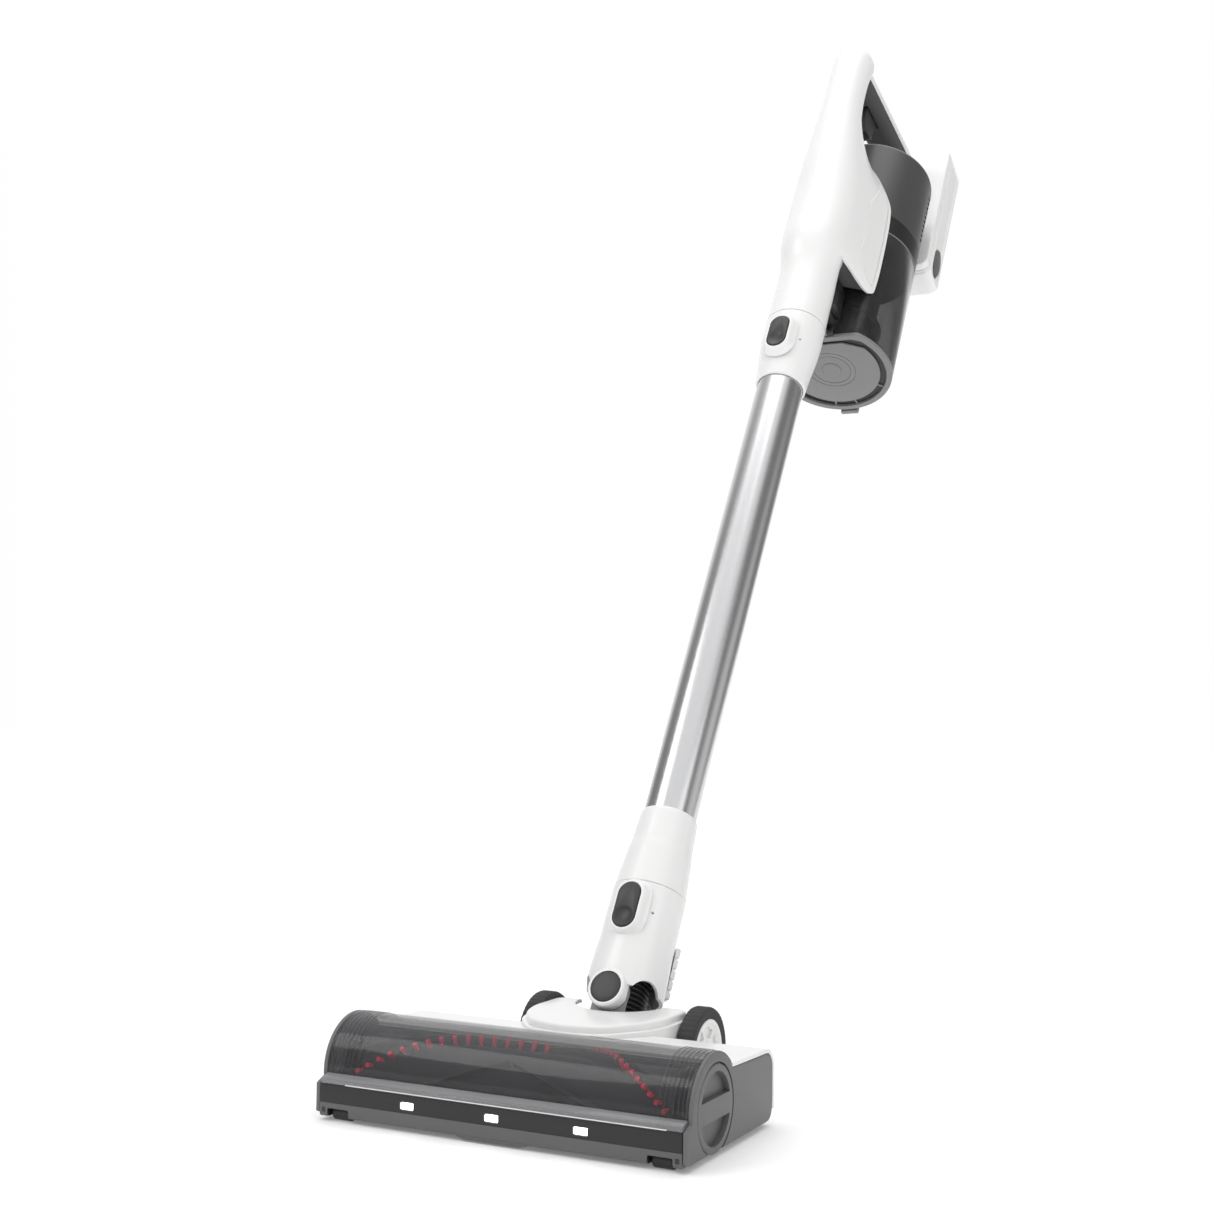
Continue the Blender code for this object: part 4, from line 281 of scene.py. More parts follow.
@dataclass(frozen=True)
class Pile:
    """Fibrous pile or foam: a coarse, matt, uneven surface."""

    name: str
    slot: str
    colour: Colour
    size: float
    depth: float

    def make(self) -> bpy.types.Material:
        """Build the material."""
        shader = Shader(self.name)
        where = shader.place()
        tuft = shader.noise(where, self.size, 5)
        cells = shader.node("ShaderNodeTexVoronoi", {}, {"Vector": where, "Scale": self.size * 0.7},
                            "Distance")
        dim = tuple(channel * 0.45 for channel in self.colour)
        shader.set(Base_Color=shader.blend(tuft * 0.6 + cells * 0.6, dim, self.colour))
        shader.set(Roughness=0.92 - tuft * 0.1)
        shader.relief(tuft + cells, 0.8, self.depth)
        return shader.material


class Finish(Enum):
    """The finishes of the vacuum."""

    WHITE = Moulded("white_shell", "white_plastic", (0.80, 0.80, 0.795), 0.34, 0.06, 1800, 0.015, 0.25)
    TRIM = Moulded("white_satin", "white_trim", (0.75, 0.75, 0.745), 0.42, 0.10, 1800, 0.02)
    INSET = Moulded("cheek_inset", "white_trim", (0.74, 0.74, 0.735), 0.46, 0.12, 1700, 0.02)
    LIGHT = Moulded("light_grey", "light_grey_plastic", (0.27, 0.27, 0.27), 0.42, 0.15)
    LID = Moulded("lid_grey", "light_grey_plastic", (0.20, 0.20, 0.20), 0.36, 0.10)
    MID = Moulded("mid_grey", "mid_grey_plastic", (0.105, 0.105, 0.107), 0.42, 0.25)
    PANEL = Moulded("side_grey", "mid_grey_plastic", (0.125, 0.125, 0.127), 0.48, 0.30)
    DARK = Moulded("dark_grey", "dark_grey_plastic", (0.022, 0.022, 0.023), 0.38, 0.22)
    HOUSING = Moulded("motor_grey", "dark_grey_plastic", (0.055, 0.055, 0.057), 0.34, 0.15)
    BLACK = Moulded("black_parts", "black_plastic", (0.012, 0.012, 0.012), 0.35, 0.18)
    SOFT = Moulded("soft_grip", "soft_grip", (0.022, 0.022, 0.024), 0.55, 0.35, 2400)
    RUBBER = Moulded("hose_rubber", "black_rubber", (0.010, 0.010, 0.010), 0.42, 0.25, 1200)
    TYRE = Moulded("tyre_rubber", "tyre_rubber", (0.030, 0.030, 0.031), 0.62, 0.5, 1100)
    LENS = Moulded("lamp_lens", "led_lens", (0.95, 0.97, 1.0), 0.12, 0.02, 900, 0.0, 0.5, 6.0)
    BOARD = Moulded("circuit_board", "circuit_board", (0.02, 0.10, 0.05), 0.45, 0.3, 700)
    SLEEVE = Moulded("cell_sleeve", "cell_wrap", (0.05, 0.16, 0.30), 0.35, 0.1, 900)
    WINDOW = SmokedClear("window_smoke", "smoked_clear", (0.10, 0.10, 0.105), 0.13, 0.72)
    FOOT = SmokedClear("window_foot", "smoked_clear", (0.30, 0.30, 0.31), 0.4, 0.9)
    CUP = SmokedClear("cup_smoke", "smoked_clear", (0.03, 0.03, 0.032), 0.34, 0.9)
    STEEL = SatinSteel("satin_steel", "brushed_steel", (0.66, 0.66, 0.67), 0.24)
    SHAFT = SatinSteel("turned_steel", "brushed_steel", (0.60, 0.60, 0.61), 0.30, 0.0)
    FELT = Pile("roll_felt", "brush_fibre", (0.040, 0.040, 0.043), 2600, 0.00012)
    TUFT = Pile("crimson_tuft", "brush_fibre", (0.92, 0.02, 0.085), 2600, 0.0001)
    FOAM = Pile("filter_foam", "filter_foam", (0.30, 0.30, 0.31), 700, 0.0006)
    PAPER = Pile("filter_paper", "filter_paper", (0.75, 0.75, 0.72), 1200, 0.0002)

    def material(self) -> bpy.types.Material:
        """The finish's material, made once."""
        found = bpy.data.materials.get(self.value.name)
        return found or self.value.make()


# ---------------------------------------------------------------- shapes

def arc(centre: Point, radius: float, start: float, end: float, steps: int = 12) -> list[Point]:
    """Points of an arc; angles are in degrees."""
    turns = [math.radians(start + (end - start) * i / steps) for i in range(steps + 1)]
    return [(centre[0] + radius * math.cos(turn), centre[1] + radius * math.sin(turn)) for turn in turns]


def slot_outline(half_length: float, half_width: float, centre: Point = (0, 0),
                 steps: int = 16) -> list[Point]:
    """A slot with round ends, long in its second direction."""
    reach = half_length - half_width
    top = arc((centre[0], centre[1] + reach), half_width, 0, 180, steps)
    return top + arc((centre[0], centre[1] - reach), half_width, 180, 360, steps)


def soft_box(low: Point, high: Point, radius: float, steps: int = 8) -> list[Point]:
    """A rectangle with round corners."""
    outline = arc((high[0] - radius, high[1] - radius), radius, 0, 90, steps)
    outline += arc((low[0] + radius, high[1] - radius), radius, 90, 180, steps)
    outline += arc((low[0] + radius, low[1] + radius), radius, 180, 270, steps)
    return outline + arc((high[0] - radius, low[1] + radius), radius, 270, 360, steps)


def follow(table: tuple[tuple[float, ...], ...], at: float) -> list[float]:
    """Read a table of stations smoothly.

    Args:
        table: rows of a station and its values, in rising order.
        at: the station to read.
    Returns:
        The values there, on a curve through the rows.
    """
    if at <= table[0][0]:
        return list(table[0][1:])
    if at >= table[-1][0]:
        return list(table[-1][1:])
    i = next(k for k in range(len(table) - 1) if table[k + 1][0] >= at)
    rows = [table[max(i - 1, 0)], table[i], table[i + 1], table[min(i + 2, len(table) - 1)]]
    span = rows[2][0] - rows[1][0]
    t = (at - rows[1][0]) / span
    values = []
    for k in range(1, len(rows[0])):
        first = (rows[2][k] - rows[0][k]) / max(rows[2][0] - rows[0][0], 1e-6) * span
        last = (rows[3][k] - rows[1][k]) / max(rows[3][0] - rows[1][0], 1e-6) * span
        values.append((2 * t ** 3 - 3 * t ** 2 + 1) * rows[1][k] + (t ** 3 - 2 * t ** 2 + t) * first
                      + (3 * t ** 2 - 2 * t ** 3) * rows[2][k] + (t ** 3 - t ** 2) * last)
    return values


class Solid:
    """A mesh being shaped in millimetres, in the head frame or the wand frame."""

    def __init__(self, space: Matrix) -> None:
        """Start an empty mesh in a frame."""
        self.space = space
        self.mesh = bmesh.new()

    def _turn(self, verts: list, at: Vector, axis: Vector) -> "Solid":
        """Turn new vertices from +Z to an axis and move them to a place."""
        turn = Z.rotation_difference(Vector(axis)).to_matrix().to_4x4()
        bmesh.ops.transform(self.mesh, matrix=Matrix.Translation(at) @ turn, verts=verts)
        return self

    def lathe(self, profile: list[Point], at: Vector = Vector(), axis: Vector = Z,
              segments: int = FAIR) -> "Solid":
        """Spin a profile about an axis.

        Args:
            profile: radius and height of each point; a ring whose ends are off the axis is closed.
            at: the place of the profile's origin.
            axis: the axis it is spun about.
            segments: steps of the full turn.
        Returns:
            The solid itself.
        """
        before = set(self.mesh.verts)
        points = [self.mesh.verts.new((radius, 0, height)) for radius, height in profile]
        pairs = list(zip(points, points[1:]))
        if profile[0][0] > 1e-4 and profile[-1][0] > 1e-4:
            pairs.append((points[-1], points[0]))
        edges = [self.mesh.edges.new(pair) for pair in pairs]
        bmesh.ops.spin(self.mesh, geom=points + edges, cent=(0, 0, 0), axis=(0, 0, 1), angle=math.tau,
                       steps=segments, use_merge=True)
        made = [vert for vert in self.mesh.verts if vert not in before]
        self._turn(made, at, axis)
        bmesh.ops.remove_doubles(self.mesh, verts=made, dist=1e-4)
        return self

    def rod(self, radius: float, low: float, high: float, at: Vector = Vector(), axis: Vector = Z,
            segments: int = FAIR) -> "Solid":
        """Turn a plain cylinder.

        Args:
            radius: its radius.
            low: its start along the axis.
            high: its end along the axis.
            at: the axis's origin.
            axis: its direction.
            segments: facets round it.
        Returns:
            This builder.
        """
        return self.lathe([(0, low), (radius, low), (radius, high), (0, high)], at, axis, segments)

    def prism(self, outline: list[Point], start: float, end: float, along: str = "X", bevel: float = 0.0,
              segments: int = 3) -> "Solid":
        """Extrude an outline.

        Args:
            outline: points in the plane across the direction (y z, x z or x y).
            start: where the extrusion starts.
            end: where it ends.
            along: X, Y or Z.
            bevel: radius on the rims of the two ends.
            segments: steps of the bevel.
        Returns:
            The solid itself.
        """
        lift = {"X": lambda a, b: (start, a, b), "Y": lambda a, b: (a, start, b), "Z": lambda a,
                b: (a, b, start)}[along]
        step = {"X": X, "Y": Y, "Z": Z}[along] * (end - start)
        kept = [point for i, point in enumerate(outline) if math.dist(point, outline[i - 1]) > 1e-4]
        before = set(self.mesh.edges)
        face = self.mesh.faces.new([self.mesh.verts.new(lift(a, b)) for a, b in kept])
        made = bmesh.ops.extrude_face_region(self.mesh, geom=[face])["geom"]
        moved = [item for item in made if isinstance(item, bmesh.types.BMVert)]
        bmesh.ops.translate(self.mesh, vec=step, verts=moved)
        if bevel:
            rims = [edge for edge in self.mesh.edges if edge not in before
                    and abs((edge.verts[0].co - edge.verts[1].co).dot(step)) < 1e-6]
            bmesh.ops.bevel(self.mesh, geom=rims, offset=bevel, segments=segments, profile=0.5,
                            affect="EDGES",
                            material=-1, clamp_overlap=True)
        return self

    def rings(self, loops: list[list[Vector]]) -> "Solid":
        """Bridge rings of points into a closed loft, each ring a circle moved to its section."""
        edges = []
        for loop in loops:
            circle = bmesh.ops.create_circle(self.mesh, segments=len(loop), radius=1)["verts"]
            for vert, place in zip(circle, loop):
                vert.co = place
            inside = set(circle)
            edges.append([edge for edge in self.mesh.edges
                          if edge.verts[0] in inside and edge.verts[1] in inside])
        for low, high in zip(edges, edges[1:]):
            bmesh.ops.bridge_loops(self.mesh, edges=low + high)
        bmesh.ops.holes_fill(self.mesh, edges=edges[0] + edges[-1], sides=0)
        return self

    def block(self, low: tuple[float, float, float], high: tuple[float, float, float], bevel: float = 0.0,
              segments: int = 3) -> "Solid":
        """A box between two corners, its edges rounded by bevel."""
        made = bmesh.ops.create_cube(self.mesh, size=1)["verts"]
        bmesh.ops.scale(self.mesh, vec=[high[i] - low[i] for i in range(3)], verts=made)
        bmesh.ops.translate(self.mesh, vec=[(high[i] + low[i]) / 2 for i in range(3)], verts=made)
        if bevel:
            edges = list({edge for vert in made for edge in vert.link_edges})
            bmesh.ops.bevel(self.mesh, geom=edges, offset=bevel, segments=segments, profile=0.5,
                            affect="EDGES",
                            material=-1, clamp_overlap=True)
        return self

    def object(self, name: str) -> bpy.types.Object:
        """The shape as an object whose place is in its mesh."""
        bmesh.ops.recalc_face_normals(self.mesh, faces=self.mesh.faces)
        bmesh.ops.transform(self.mesh, matrix=self.space, verts=self.mesh.verts)
        data = bpy.data.meshes.new(name)
        self.mesh.to_mesh(data)
        self.mesh.free()
        made = bpy.data.objects.new(name, data)
        bpy.context.scene.collection.objects.link(made)
        return made


def carve(target: bpy.types.Object, tool: bpy.types.Object,
          operation: str = "DIFFERENCE") -> bpy.types.Object:
    """Apply a Boolean of a tool to a target, and remove the tool."""
    change = target.modifiers.new("carve", "BOOLEAN")
    change.operation = operation
    change.solver = "EXACT"
    change.object = tool
    bpy.context.view_layer.update()
    result = bpy.data.meshes.new_from_object(target.evaluated_get(bpy.context.evaluated_depsgraph_get()))
    target.modifiers.clear()
    target.data = result
    bpy.data.objects.remove(tool, do_unlink=True)
    return target


def dress(thing: bpy.types.Object, finish: Finish, body: str, stands_for: tuple[str, ...] = (),
          bevel: float = 0.0,
          sharp: float = 32.0) -> bpy.types.Object:
    """Finish a piece and let it ride on its body.

    Args:
        thing: the piece.
        finish: its finish.
        body: the CAD body that carries it.
        stands_for: CAD nodes that it replaces.
        bevel: width of a live bevel on its sharp edges, in millimetres.
        sharp: angle above which an edge stays sharp, in degrees.
    Returns:
        The piece.
    """
    thing.data.materials.clear()
    thing.data.materials.append(finish.material())
    thing.data.shade_smooth()
    thing.data.set_sharp_from_angle(angle=math.radians(sharp))
    if bevel:
        edge = thing.modifiers.new("soft_edge", "BEVEL")
        edge.width = bevel * 0.001
        edge.segments = 3
        edge.limit_method = "ANGLE"
        edge.angle_limit = math.radians(38)
        edge.harden_normals = False
    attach(thing, body)
    if stands_for:
        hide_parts(*stands_for)
    log.info("piece %s on %s", thing.name, body)
    return thing


# ---------------------------------------------------------------- wand and neck

@dataclass
class Wand:
    """Steel wand tube."""

    radius: float = 19.5
    wall: float = 1.2
    low: float = 100.0
    high: float = 610.0

    def build(self) -> None:
        """Make the tube with rolled rims."""
        rim = 0.5
        profile = [(self.radius - self.wall, self.low), (self.radius - rim, self.low),
                   (self.radius, self.low + rim),
                   (self.radius, self.high - rim), (self.radius - rim, self.high),
                   (self.radius - self.wall, self.high)]
        dress(Solid(WAND).lathe(profile).object("wand_pipe"), Finish.STEEL, "wand", ("wand_tube",))


@dataclass
class ReleaseButton:
    """Stadium button with a thumb dimple, in a raised rim with a pin hole beside it."""

    name: str
    body: str
    node: str
    centre: float
    face: float
    root: float
    half_length: float = 17.0
    half_width: float = 8.5
    rim: float = 3.6
    clearance: float = 0.35
    depth: float = 7.6
    travel_room: float = 3.0

    def bezel(self) -> bpy.types.Object:
        """The raised rim as a tool to join to the shell."""
        shape = Solid(WAND)
        stations = ((self.root, 2.6), (self.face - 5.5, 0.5), (self.face - 3.4, -0.3),
                    (self.face - 1.9, -1.1),
                    (self.face - 1.2, -2.2))
        loops = []
        for depth, grow in stations:
            outline = slot_outline(self.half_length + self.rim + grow, self.half_width + self.rim + grow,
                                   (0, self.centre))
            loops.append([Vector((a, -depth, b)) for a, b in outline])
        return shape.rings(loops).object("bezel")

    def opening(self) -> bpy.types.Object:
        """The button's opening as a cutter."""
        hole = slot_outline(self.half_length + self.clearance, self.half_width + self.clearance,
                            (0, self.centre))
        return Solid(WAND).prism(hole, -self.face - 4, -self.face + self.depth + self.travel_room,
                                 "Y").object("opening")

    def pin_hole(self) -> bpy.types.Object:
        """A tiny hole beside the rim, as a cutter."""
        at = Vector((self.half_width + self.rim + 4.2, -30, self.centre - 1))
        return Solid(WAND).rod(0.9, 0, 26, at, Y, 24).object("pin_hole")

    def build(self) -> None:
        """Make the button."""
        outline = slot_outline(self.half_length, self.half_width, (0, self.centre))
        cap = Solid(WAND).prism(outline, -self.face + 0.2, -self.face + self.depth, "Y",
                                0.9).object(self.name)
        low = self.centre - self.half_length + self.half_width
        radius = self.half_width - 1.3
        bowl = arc((0, 0), 21.0, -90, -90 + math.degrees(math.asin(radius / 21.0)), 10)
        lift = bowl[-1][1]
        profile = [(a, b - lift) for a, b in bowl] + [(radius, 5), (0, 5)]
        carve(cap, Solid(WAND).lathe(profile, Vector((0, -self.face + 0.15, low)), -Y, FINE).object("dimple"))
        dress(cap, Finish.DARK, self.body, (self.node,))


@dataclass
class Neck:
    """Neck: lower shell with the swivel boss, upper collar, button, hose and rear cover."""

    wall: float = 2.6
    profile: tuple = ((5, 27.6), (16, 27.7), (26, 27.3), (42, 26.5), (60, 26.4), (81, 26.2))
    collar: tuple = ((81.4, 26.15), (101, 24.3), (112, 23.4), (117.5, 22.5), (134, 21.6), (142, 21.0),
                     (143, 20.4))
    boss_radius: float = 13.6
    boss_front: float = 29.5
    cap_radius: float = 10.9
    notch_radius: float = 12.4
    button: ReleaseButton = field(default_factory=lambda: ReleaseButton("neck_release", "neck_button",
                                                                         "neck_button", 60.2, 31.5, 24.0))

    def _shell(self) -> None:
        """Lower shell with boss, hose notches and button rim."""
        heights = [5 + i * 2 for i in range(39)]
        outer = [(follow(self.profile, height)[0], height) for height in heights]
        inner = [(radius - self.wall, height) for radius, height in reversed(outer)]
        shell = Solid(WAND).lathe(outer + inner).object("neck_body")
        boss = Solid(WAND).lathe([(0, 20), (self.boss_radius, 20), (self.boss_radius, self.boss_front - 1.6)]
                                 + arc((self.boss_radius - 1.6, self.boss_front - 1.6), 1.6, 0, 90, 6)
                                 + [(0, self.boss_front)], Vector(), -Y).object("boss")
        carve(shell, boss, "UNION")
        carve(shell, Solid(WAND).rod(13.4, 20, 27.2, Vector(), Y).object("rear_boss"), "UNION")
        carve(shell, Solid(WAND).block((-15.6, -20.6, -15.6), (15.6, 20.6, 14.6)).object("between"))
        for side in (-1, 1):
            turn = math.radians(60)
            way = Vector((side * math.sin(turn), -math.cos(turn), 0))
            carve(shell, Solid(WAND).rod(self.notch_radius, 9, 34,
                                           Vector((0, 0, -0.5)), way).object("notch"))
        seat = self.cap_radius + 0.35
        carve(shell, Solid(WAND).rod(seat, 26.9, 32, Vector(), -Y).object("seat"))
        carve(shell, self.button.bezel(), "UNION")
        carve(shell, self.button.opening())
        carve(shell, self.button.pin_hole())
        dress(shell, Finish.WHITE, "neck", ("neck_shell",), 0.6)

    def _collar(self) -> None:
        """Upper ring that the wand plugs into."""
        heights = [81.4 + i * (142.0 - 81.4) / 30 for i in range(31)]
        outer = [(follow(self.collar, height)[0], height) for height in heights] + [(20.5, 143)]
        profile = outer + [(19.8, 143), (19.8, 97), (17.6, 97), (17.6, 81.4), (25.6, 81.4)]
        dress(Solid(WAND).lathe(profile).object("neck_upper_ring"), Finish.WHITE, "neck", ("neck_collar",),
              0.4)

    def _cap(self) -> None:
        """Dark domed head of the swivel pin."""
        radius = self.cap_radius
        profile = [(0, 12), (4, 12), (4, 27.2), (radius, 27.2), (radius, 28.6)] + arc((radius - 0.7, 28.6),
                                                                                      0.7, 0, 80, 5)
        profile += [(6, 29.45), (0, 29.5)]
        dress(Solid(WAND).lathe(profile, Vector(), -Y).object("swivel_pin_head"), Finish.DARK, "neck",
              ("swivel_cap",))

    def _hose(self) -> None:
        """Corrugated hose between the neck and the barrel."""
        ribs, low, high = 13, -12.0, 34.0
        crest, root = 17.6, 15.9
        pitch = (high - low) / ribs
        outer = []
        for i in range(ribs * 8 + 1):
            height = low + pitch * i / 8
            wave = 0.5 - 0.5 * math.cos(math.tau * i / 8)
            outer.append((root + (crest - root) * math.sqrt(wave), height))
        profile = outer + [(13.6, high), (13.6, low)]
        hose = Solid(WAND).lathe(profile, Vector(), Z, 64).object("neck_hose")
        dress(hose, Finish.RUBBER, "neck", ("air_hose",), 0.0, 60)

    def _rear_cover(self) -> None:
        """Slotted cover behind the neck."""
        inner, outer = arc((0, 0), 27.8, 142, 38, 24), arc((0, 0), 31.6, 38, 142, 24)
        cover = Solid(WAND).prism(outer + inner, 13, 51, "Z", 1.2).object("cable_cover")
        for side in (-1, 1):
            for i in range(4):
                low = 18 + i * 8
                a, b = sorted((side * 22, side * 34))
                carve(cover, Solid(WAND).block((a, 15, low), (b, 36, low + 2.2), 0.6, 2).object("slot"))
        dress(cover, Finish.TRIM, "neck", ("neck_rear_cover",), 0.3)

    def build(self) -> None:
        """Make every piece of the neck."""
        self._shell()
        self._collar()
        self._cap()
        self._hose()
        self._rear_cover()
        self.button.build()


# ---------------------------------------------------------------- hand unit

@dataclass
class HandShell:
    """White spine with its cheeks, the socket for the wand, the grip and the trigger."""

    spine: tuple = ((626, 25.9, 0), (650, 25.5, 0), (676, 25.5, 0), (692, 25.8, -1.6), (705, 27.2, -4.6),
                    (718, 29.4, -4.2),
                    (740, 31.0, -1.8), (765, 31.2, -1.2), (790, 30.2, -3.5), (811, 28.4, -7.2),
                    (841, 24.1, -13),
                    (871, 20.7, -17.5), (888, 19.3, -19.5), (904, 18.7, -20.6), (930, 18.6, -20.6),
                    (944, 19.3, -19.5),
                    (952, 19.6, -18.4))
    crown: tuple = ((955.5, 19.0, -18.2), (958.5, 17.6, -18.2), (961, 15.3, -18.4), (962.8, 12.0, -18.6),
                    (963.8, 7.5, -18.8), (964.1, 3.0, -19))
    socket: tuple = ((557, 20.9), (558, 21.6), (575, 22.9), (590, 24.6), (604, 25.6), (625.6, 25.9))
    cylinder_axis: float = 90.5
    cylinder: float = 55.9
    cheek_wall: float = 3.0
    edge: tuple = ((704, 41.0), (712, 42.2), (722, 42.9), (740, 43.4), (790, 43.0), (812, 42.0), (822, 40.5),
                   (832, 37.0),
                   (842, 32.2), (852, 26.8), (862, 20.0), (872, 11.0), (880, 2.0))
    notch: tuple = ((-6, 690), (-6, 708), (10, 708), (16, 708), (21, 707.6), (27, 707), (33, 706.6),
                    (40, 706.5),
                    (45, 707.5), (49, 711), (53, 717), (60, 728), (60, 690))
    grip_width: float = 28.0
    grip_depth: float = 29.0
    grip_share: float = 10.0
    grip_low: Point = (-8, 942.7)
    grip_high: Point = (147, 980.0)
    button: ReleaseButton = field(default_factory=lambda: ReleaseButton("wand_release", "socket_button",
                                                                         "socket_button", 596.0, 32.0, 24.0))

    def _ring(self, height: float, radius: float, offset: float, count: int = 112) -> list[Vector]:
        """One round section of the spine."""
        return [Vector((radius * math.sin(math.tau * i / count),
                        offset - radius * math.cos(math.tau * i / count), height))
                for i in range(count)]

    def _spine(self) -> Solid:
        """Round body of the spine up to its crown."""
        heights = [626.3 + i * (952 - 626.3) / 84 for i in range(85)]
        loops = [self._ring(height, *follow(self.spine, height)) for height in heights]
        loops += [self._ring(height, radius, offset) for height, radius, offset in self.crown]
        return Solid(WAND).rings(loops)

    def flank(self, height: float, share: float, lift: float = 0.0) -> Point:
        """A point on the right flank's outer face.

        Args:
            height: height up the wand.
            share: 0 where it leaves the spine, 1 at its edge on the cylinder.
            lift: distance outwards from the face.
        Returns:
            X and Y of the point.
        """
        radius, offset = follow(self.spine, height)
        outer = self.cylinder + self.cheek_wall
        reach = follow(self.edge, height)[0]
        turn = math.radians(78)
        start = Vector((radius * math.sin(turn), offset - radius * math.cos(turn)))
        end = Vector((reach, self.cylinder_axis - math.sqrt(outer ** 2 - reach ** 2)))
        span = (end - start).length
        first = start + Vector((math.cos(turn), math.sin(turn))) * span * 0.36
        spread = math.asin(reach / outer)
        last = end - Vector((math.cos(spread) * 0.35 + 0.12, 1.0)).normalized() * span * 0.34
        a, b = 1 - share, share
        point = start * a ** 3 + first * (3 * a * a * b) + last * (3 * a * b * b) + end * b ** 3
        slope = (first - start) * (3 * a * a) + (last - first) * (6 * a * b) + (end - last) * (3 * b * b)
        outward = Vector((slope.y, -slope.x)).normalized()
        point += outward * lift
        return point.x, point.y

    def _cheek_ring(self, height: float, lift: float = 0.0, gap: float = 0.5) -> list[Vector]:
        """One section of both flanks and the back that lies along the cylinder.

        Args:
            height: height up the wand.
            lift: distance outwards from the flanks' outer faces.
            gap: distance of the back from the cylinder.
        Returns:
            Points of the closed section.
        """
        right = [self.flank(height, i / 26, lift) for i in range(27)]
        inner = self.cylinder + gap
        reach = right[-1][0]
        spread = math.asin(min(0.999, (reach - 1.0) / inner))
        back = [(inner * math.sin(spread * (1 - i / 20)),
                 self.cylinder_axis - inner * math.cos(spread * (1 - i / 20)))
                for i in range(21)]
        half = [(right[0][0] * 0.5, right[0][1] - 6)] + right + back
        outline = half + [(-x, y) for x, y in reversed(half[:-1])]
        return [Vector((x, y, height)) for x, y in outline]

    def _cheeks(self) -> bpy.types.Object:
        """Flanks that wrap the cylinder, with the notch under them."""
        heights = [704 + i * 2.0 for i in range(87)]
        cheeks = Solid(WAND).rings([self._cheek_ring(height) for height in heights]).object("cheeks")
        room = Solid(WAND).rings([self._cheek_ring(701 + i * 2.0, -2.0,
                                                   -2.0) for i in range(22)]).object("room")
        carve(cheeks, room)
        return carve(cheeks, Solid(WAND).prism(list(self.notch), -80, 80, "X").object("notch"))

    def _shell(self) -> None:
        """Spine and cheeks in one moulding."""
        shell = self._spine().object("spine_and_cheeks")
        carve(shell, self._cheeks(), "UNION")
        carve(shell, Solid(WAND).rod(17.5, 620, 700).object("duct"))
        dress(shell, Finish.WHITE, "main_unit", ("main_shell",), 0.5, 38)

    def _inner_housing(self) -> None:
        """Grey inner housing that shows under the cheeks."""
        bridge = Solid(WAND).rings([self._cheek_ring(705 + i * 2.0, -2.3,
                                                     0.3) for i in range(19)]).object("inner_bridge")
        lifted = [(a, b + (4.5 if b > 691 else 0)) for a, b in self.notch]
        carve(bridge, Solid(WAND).prism(lifted, -80, 80, "X").object("notch"))
        dress(bridge, Finish.MID, "main_unit", (), 0.5, 38)

    def _inset(self) -> None:
        """Slightly raised satin panels on the cheeks."""
        for word, side in (("left", -1), ("right", 1)):
            rows = []
            for i in range(41):
                height = 716 + i * 3.15
                tip = min(1.0, (i / 7) ** 0.5, ((40 - i) / 14) ** 0.8) if 0 < i < 40 else 0.0
                low, high = 0.93 - 0.50 * tip, 0.93
                rows.append([Vector((side * x, y, height)) for x, y in
                             [self.flank(height, low + (high - low) * k / 12, 0.12) for k in range(13)]])
            panel = Solid(WAND)
            grid = bmesh.ops.create_grid(panel.mesh, x_segments=12, y_segments=40, size=1)["verts"]
            for vert, place in zip(grid, [place for row in rows for place in row]):
                vert.co = place
            bmesh.ops.remove_doubles(panel.mesh, verts=panel.mesh.verts, dist=1e-3)
            thing = panel.object(f"cheek_panel_{word}")
            skin = thing.modifiers.new("skin", "SOLIDIFY")
            skin.thickness = 0.0006
            skin.offset = 0
            dress(thing, Finish.INSET, "main_unit")

    def _socket(self) -> None:
        """Socket ring at the foot of the spine."""
        heights = [558 + i * (625.6 - 558) / 34 for i in range(35)]
        outer = [(20.6, 557)] + [(follow(self.socket, height)[0], height) for height in heights]
        profile = outer + [(17.5, 625.6), (17.5, 612.3), (19.8, 612.3), (19.8, 557)]
        ring = Solid(WAND).lathe(profile).object("wand_socket")
        carve(ring, self.button.bezel(), "UNION")
        carve(ring, Solid(WAND).rod(19.8, 550, 612.3).object("bore"))
        carve(ring, self.button.opening())
        carve(ring, self.button.pin_hole())
        dress(ring, Finish.WHITE, "main_unit", ("socket_collar",), 0.5)

    def _grip_ring(self, at: float, low: float, high: float, half: float,
                   corners: tuple[float, float]) -> list[Vector]:
        """One section of a grip part, from low to high about the grip's centre line."""
        slope = (self.grip_high[1] - self.grip_low[1]) / (self.grip_high[0] - self.grip_low[0])
        centre = self.grip_low[1] + slope * (at - self.grip_low[0])
        top, bottom = corners
        outline = arc((half - top, high - top), top, 0, 90, 8) + arc((top - half, high - top), top, 90, 180,
                                                                     8)
        outline += arc((bottom - half, low + bottom), bottom, 180, 270,
                       8) + arc((half - bottom, low + bottom), bottom, 270, 360, 8)
        return [Vector((x, at, centre + z)) for x, z in outline]

    def _grip(self) -> None:
        """Hard white back and soft dark inner side of the grip."""
        half, depth = self.grip_width / 2, self.grip_depth / 2
        split = depth - self.grip_share
        stations = [self.grip_low[0] + 3 + i * (146.6 - self.grip_low[0] - 3) / 40 for i in range(41)]
        back = Solid(WAND).rings([self._grip_ring(at, split, depth, half, (4.5, 0.6)) for at in stations])
        dress(back.object("grip_back"), Finish.WHITE, "main_unit")
        front = Solid(WAND).rings([self._grip_ring(at, -depth, split - 0.3, half - 0.2,
                                                   (0.8, 8.0)) for at in stations])
        inner = front.object("grip_inner")
        slot = soft_box((15.5, 900), (50.8, 945.4), 1.5)
        carve(inner, Solid(WAND).prism(slot, -7.1, 7.1, "X").object("pocket"))
        dress(inner, Finish.SOFT, "main_unit", ("grip_front",), 0.4)

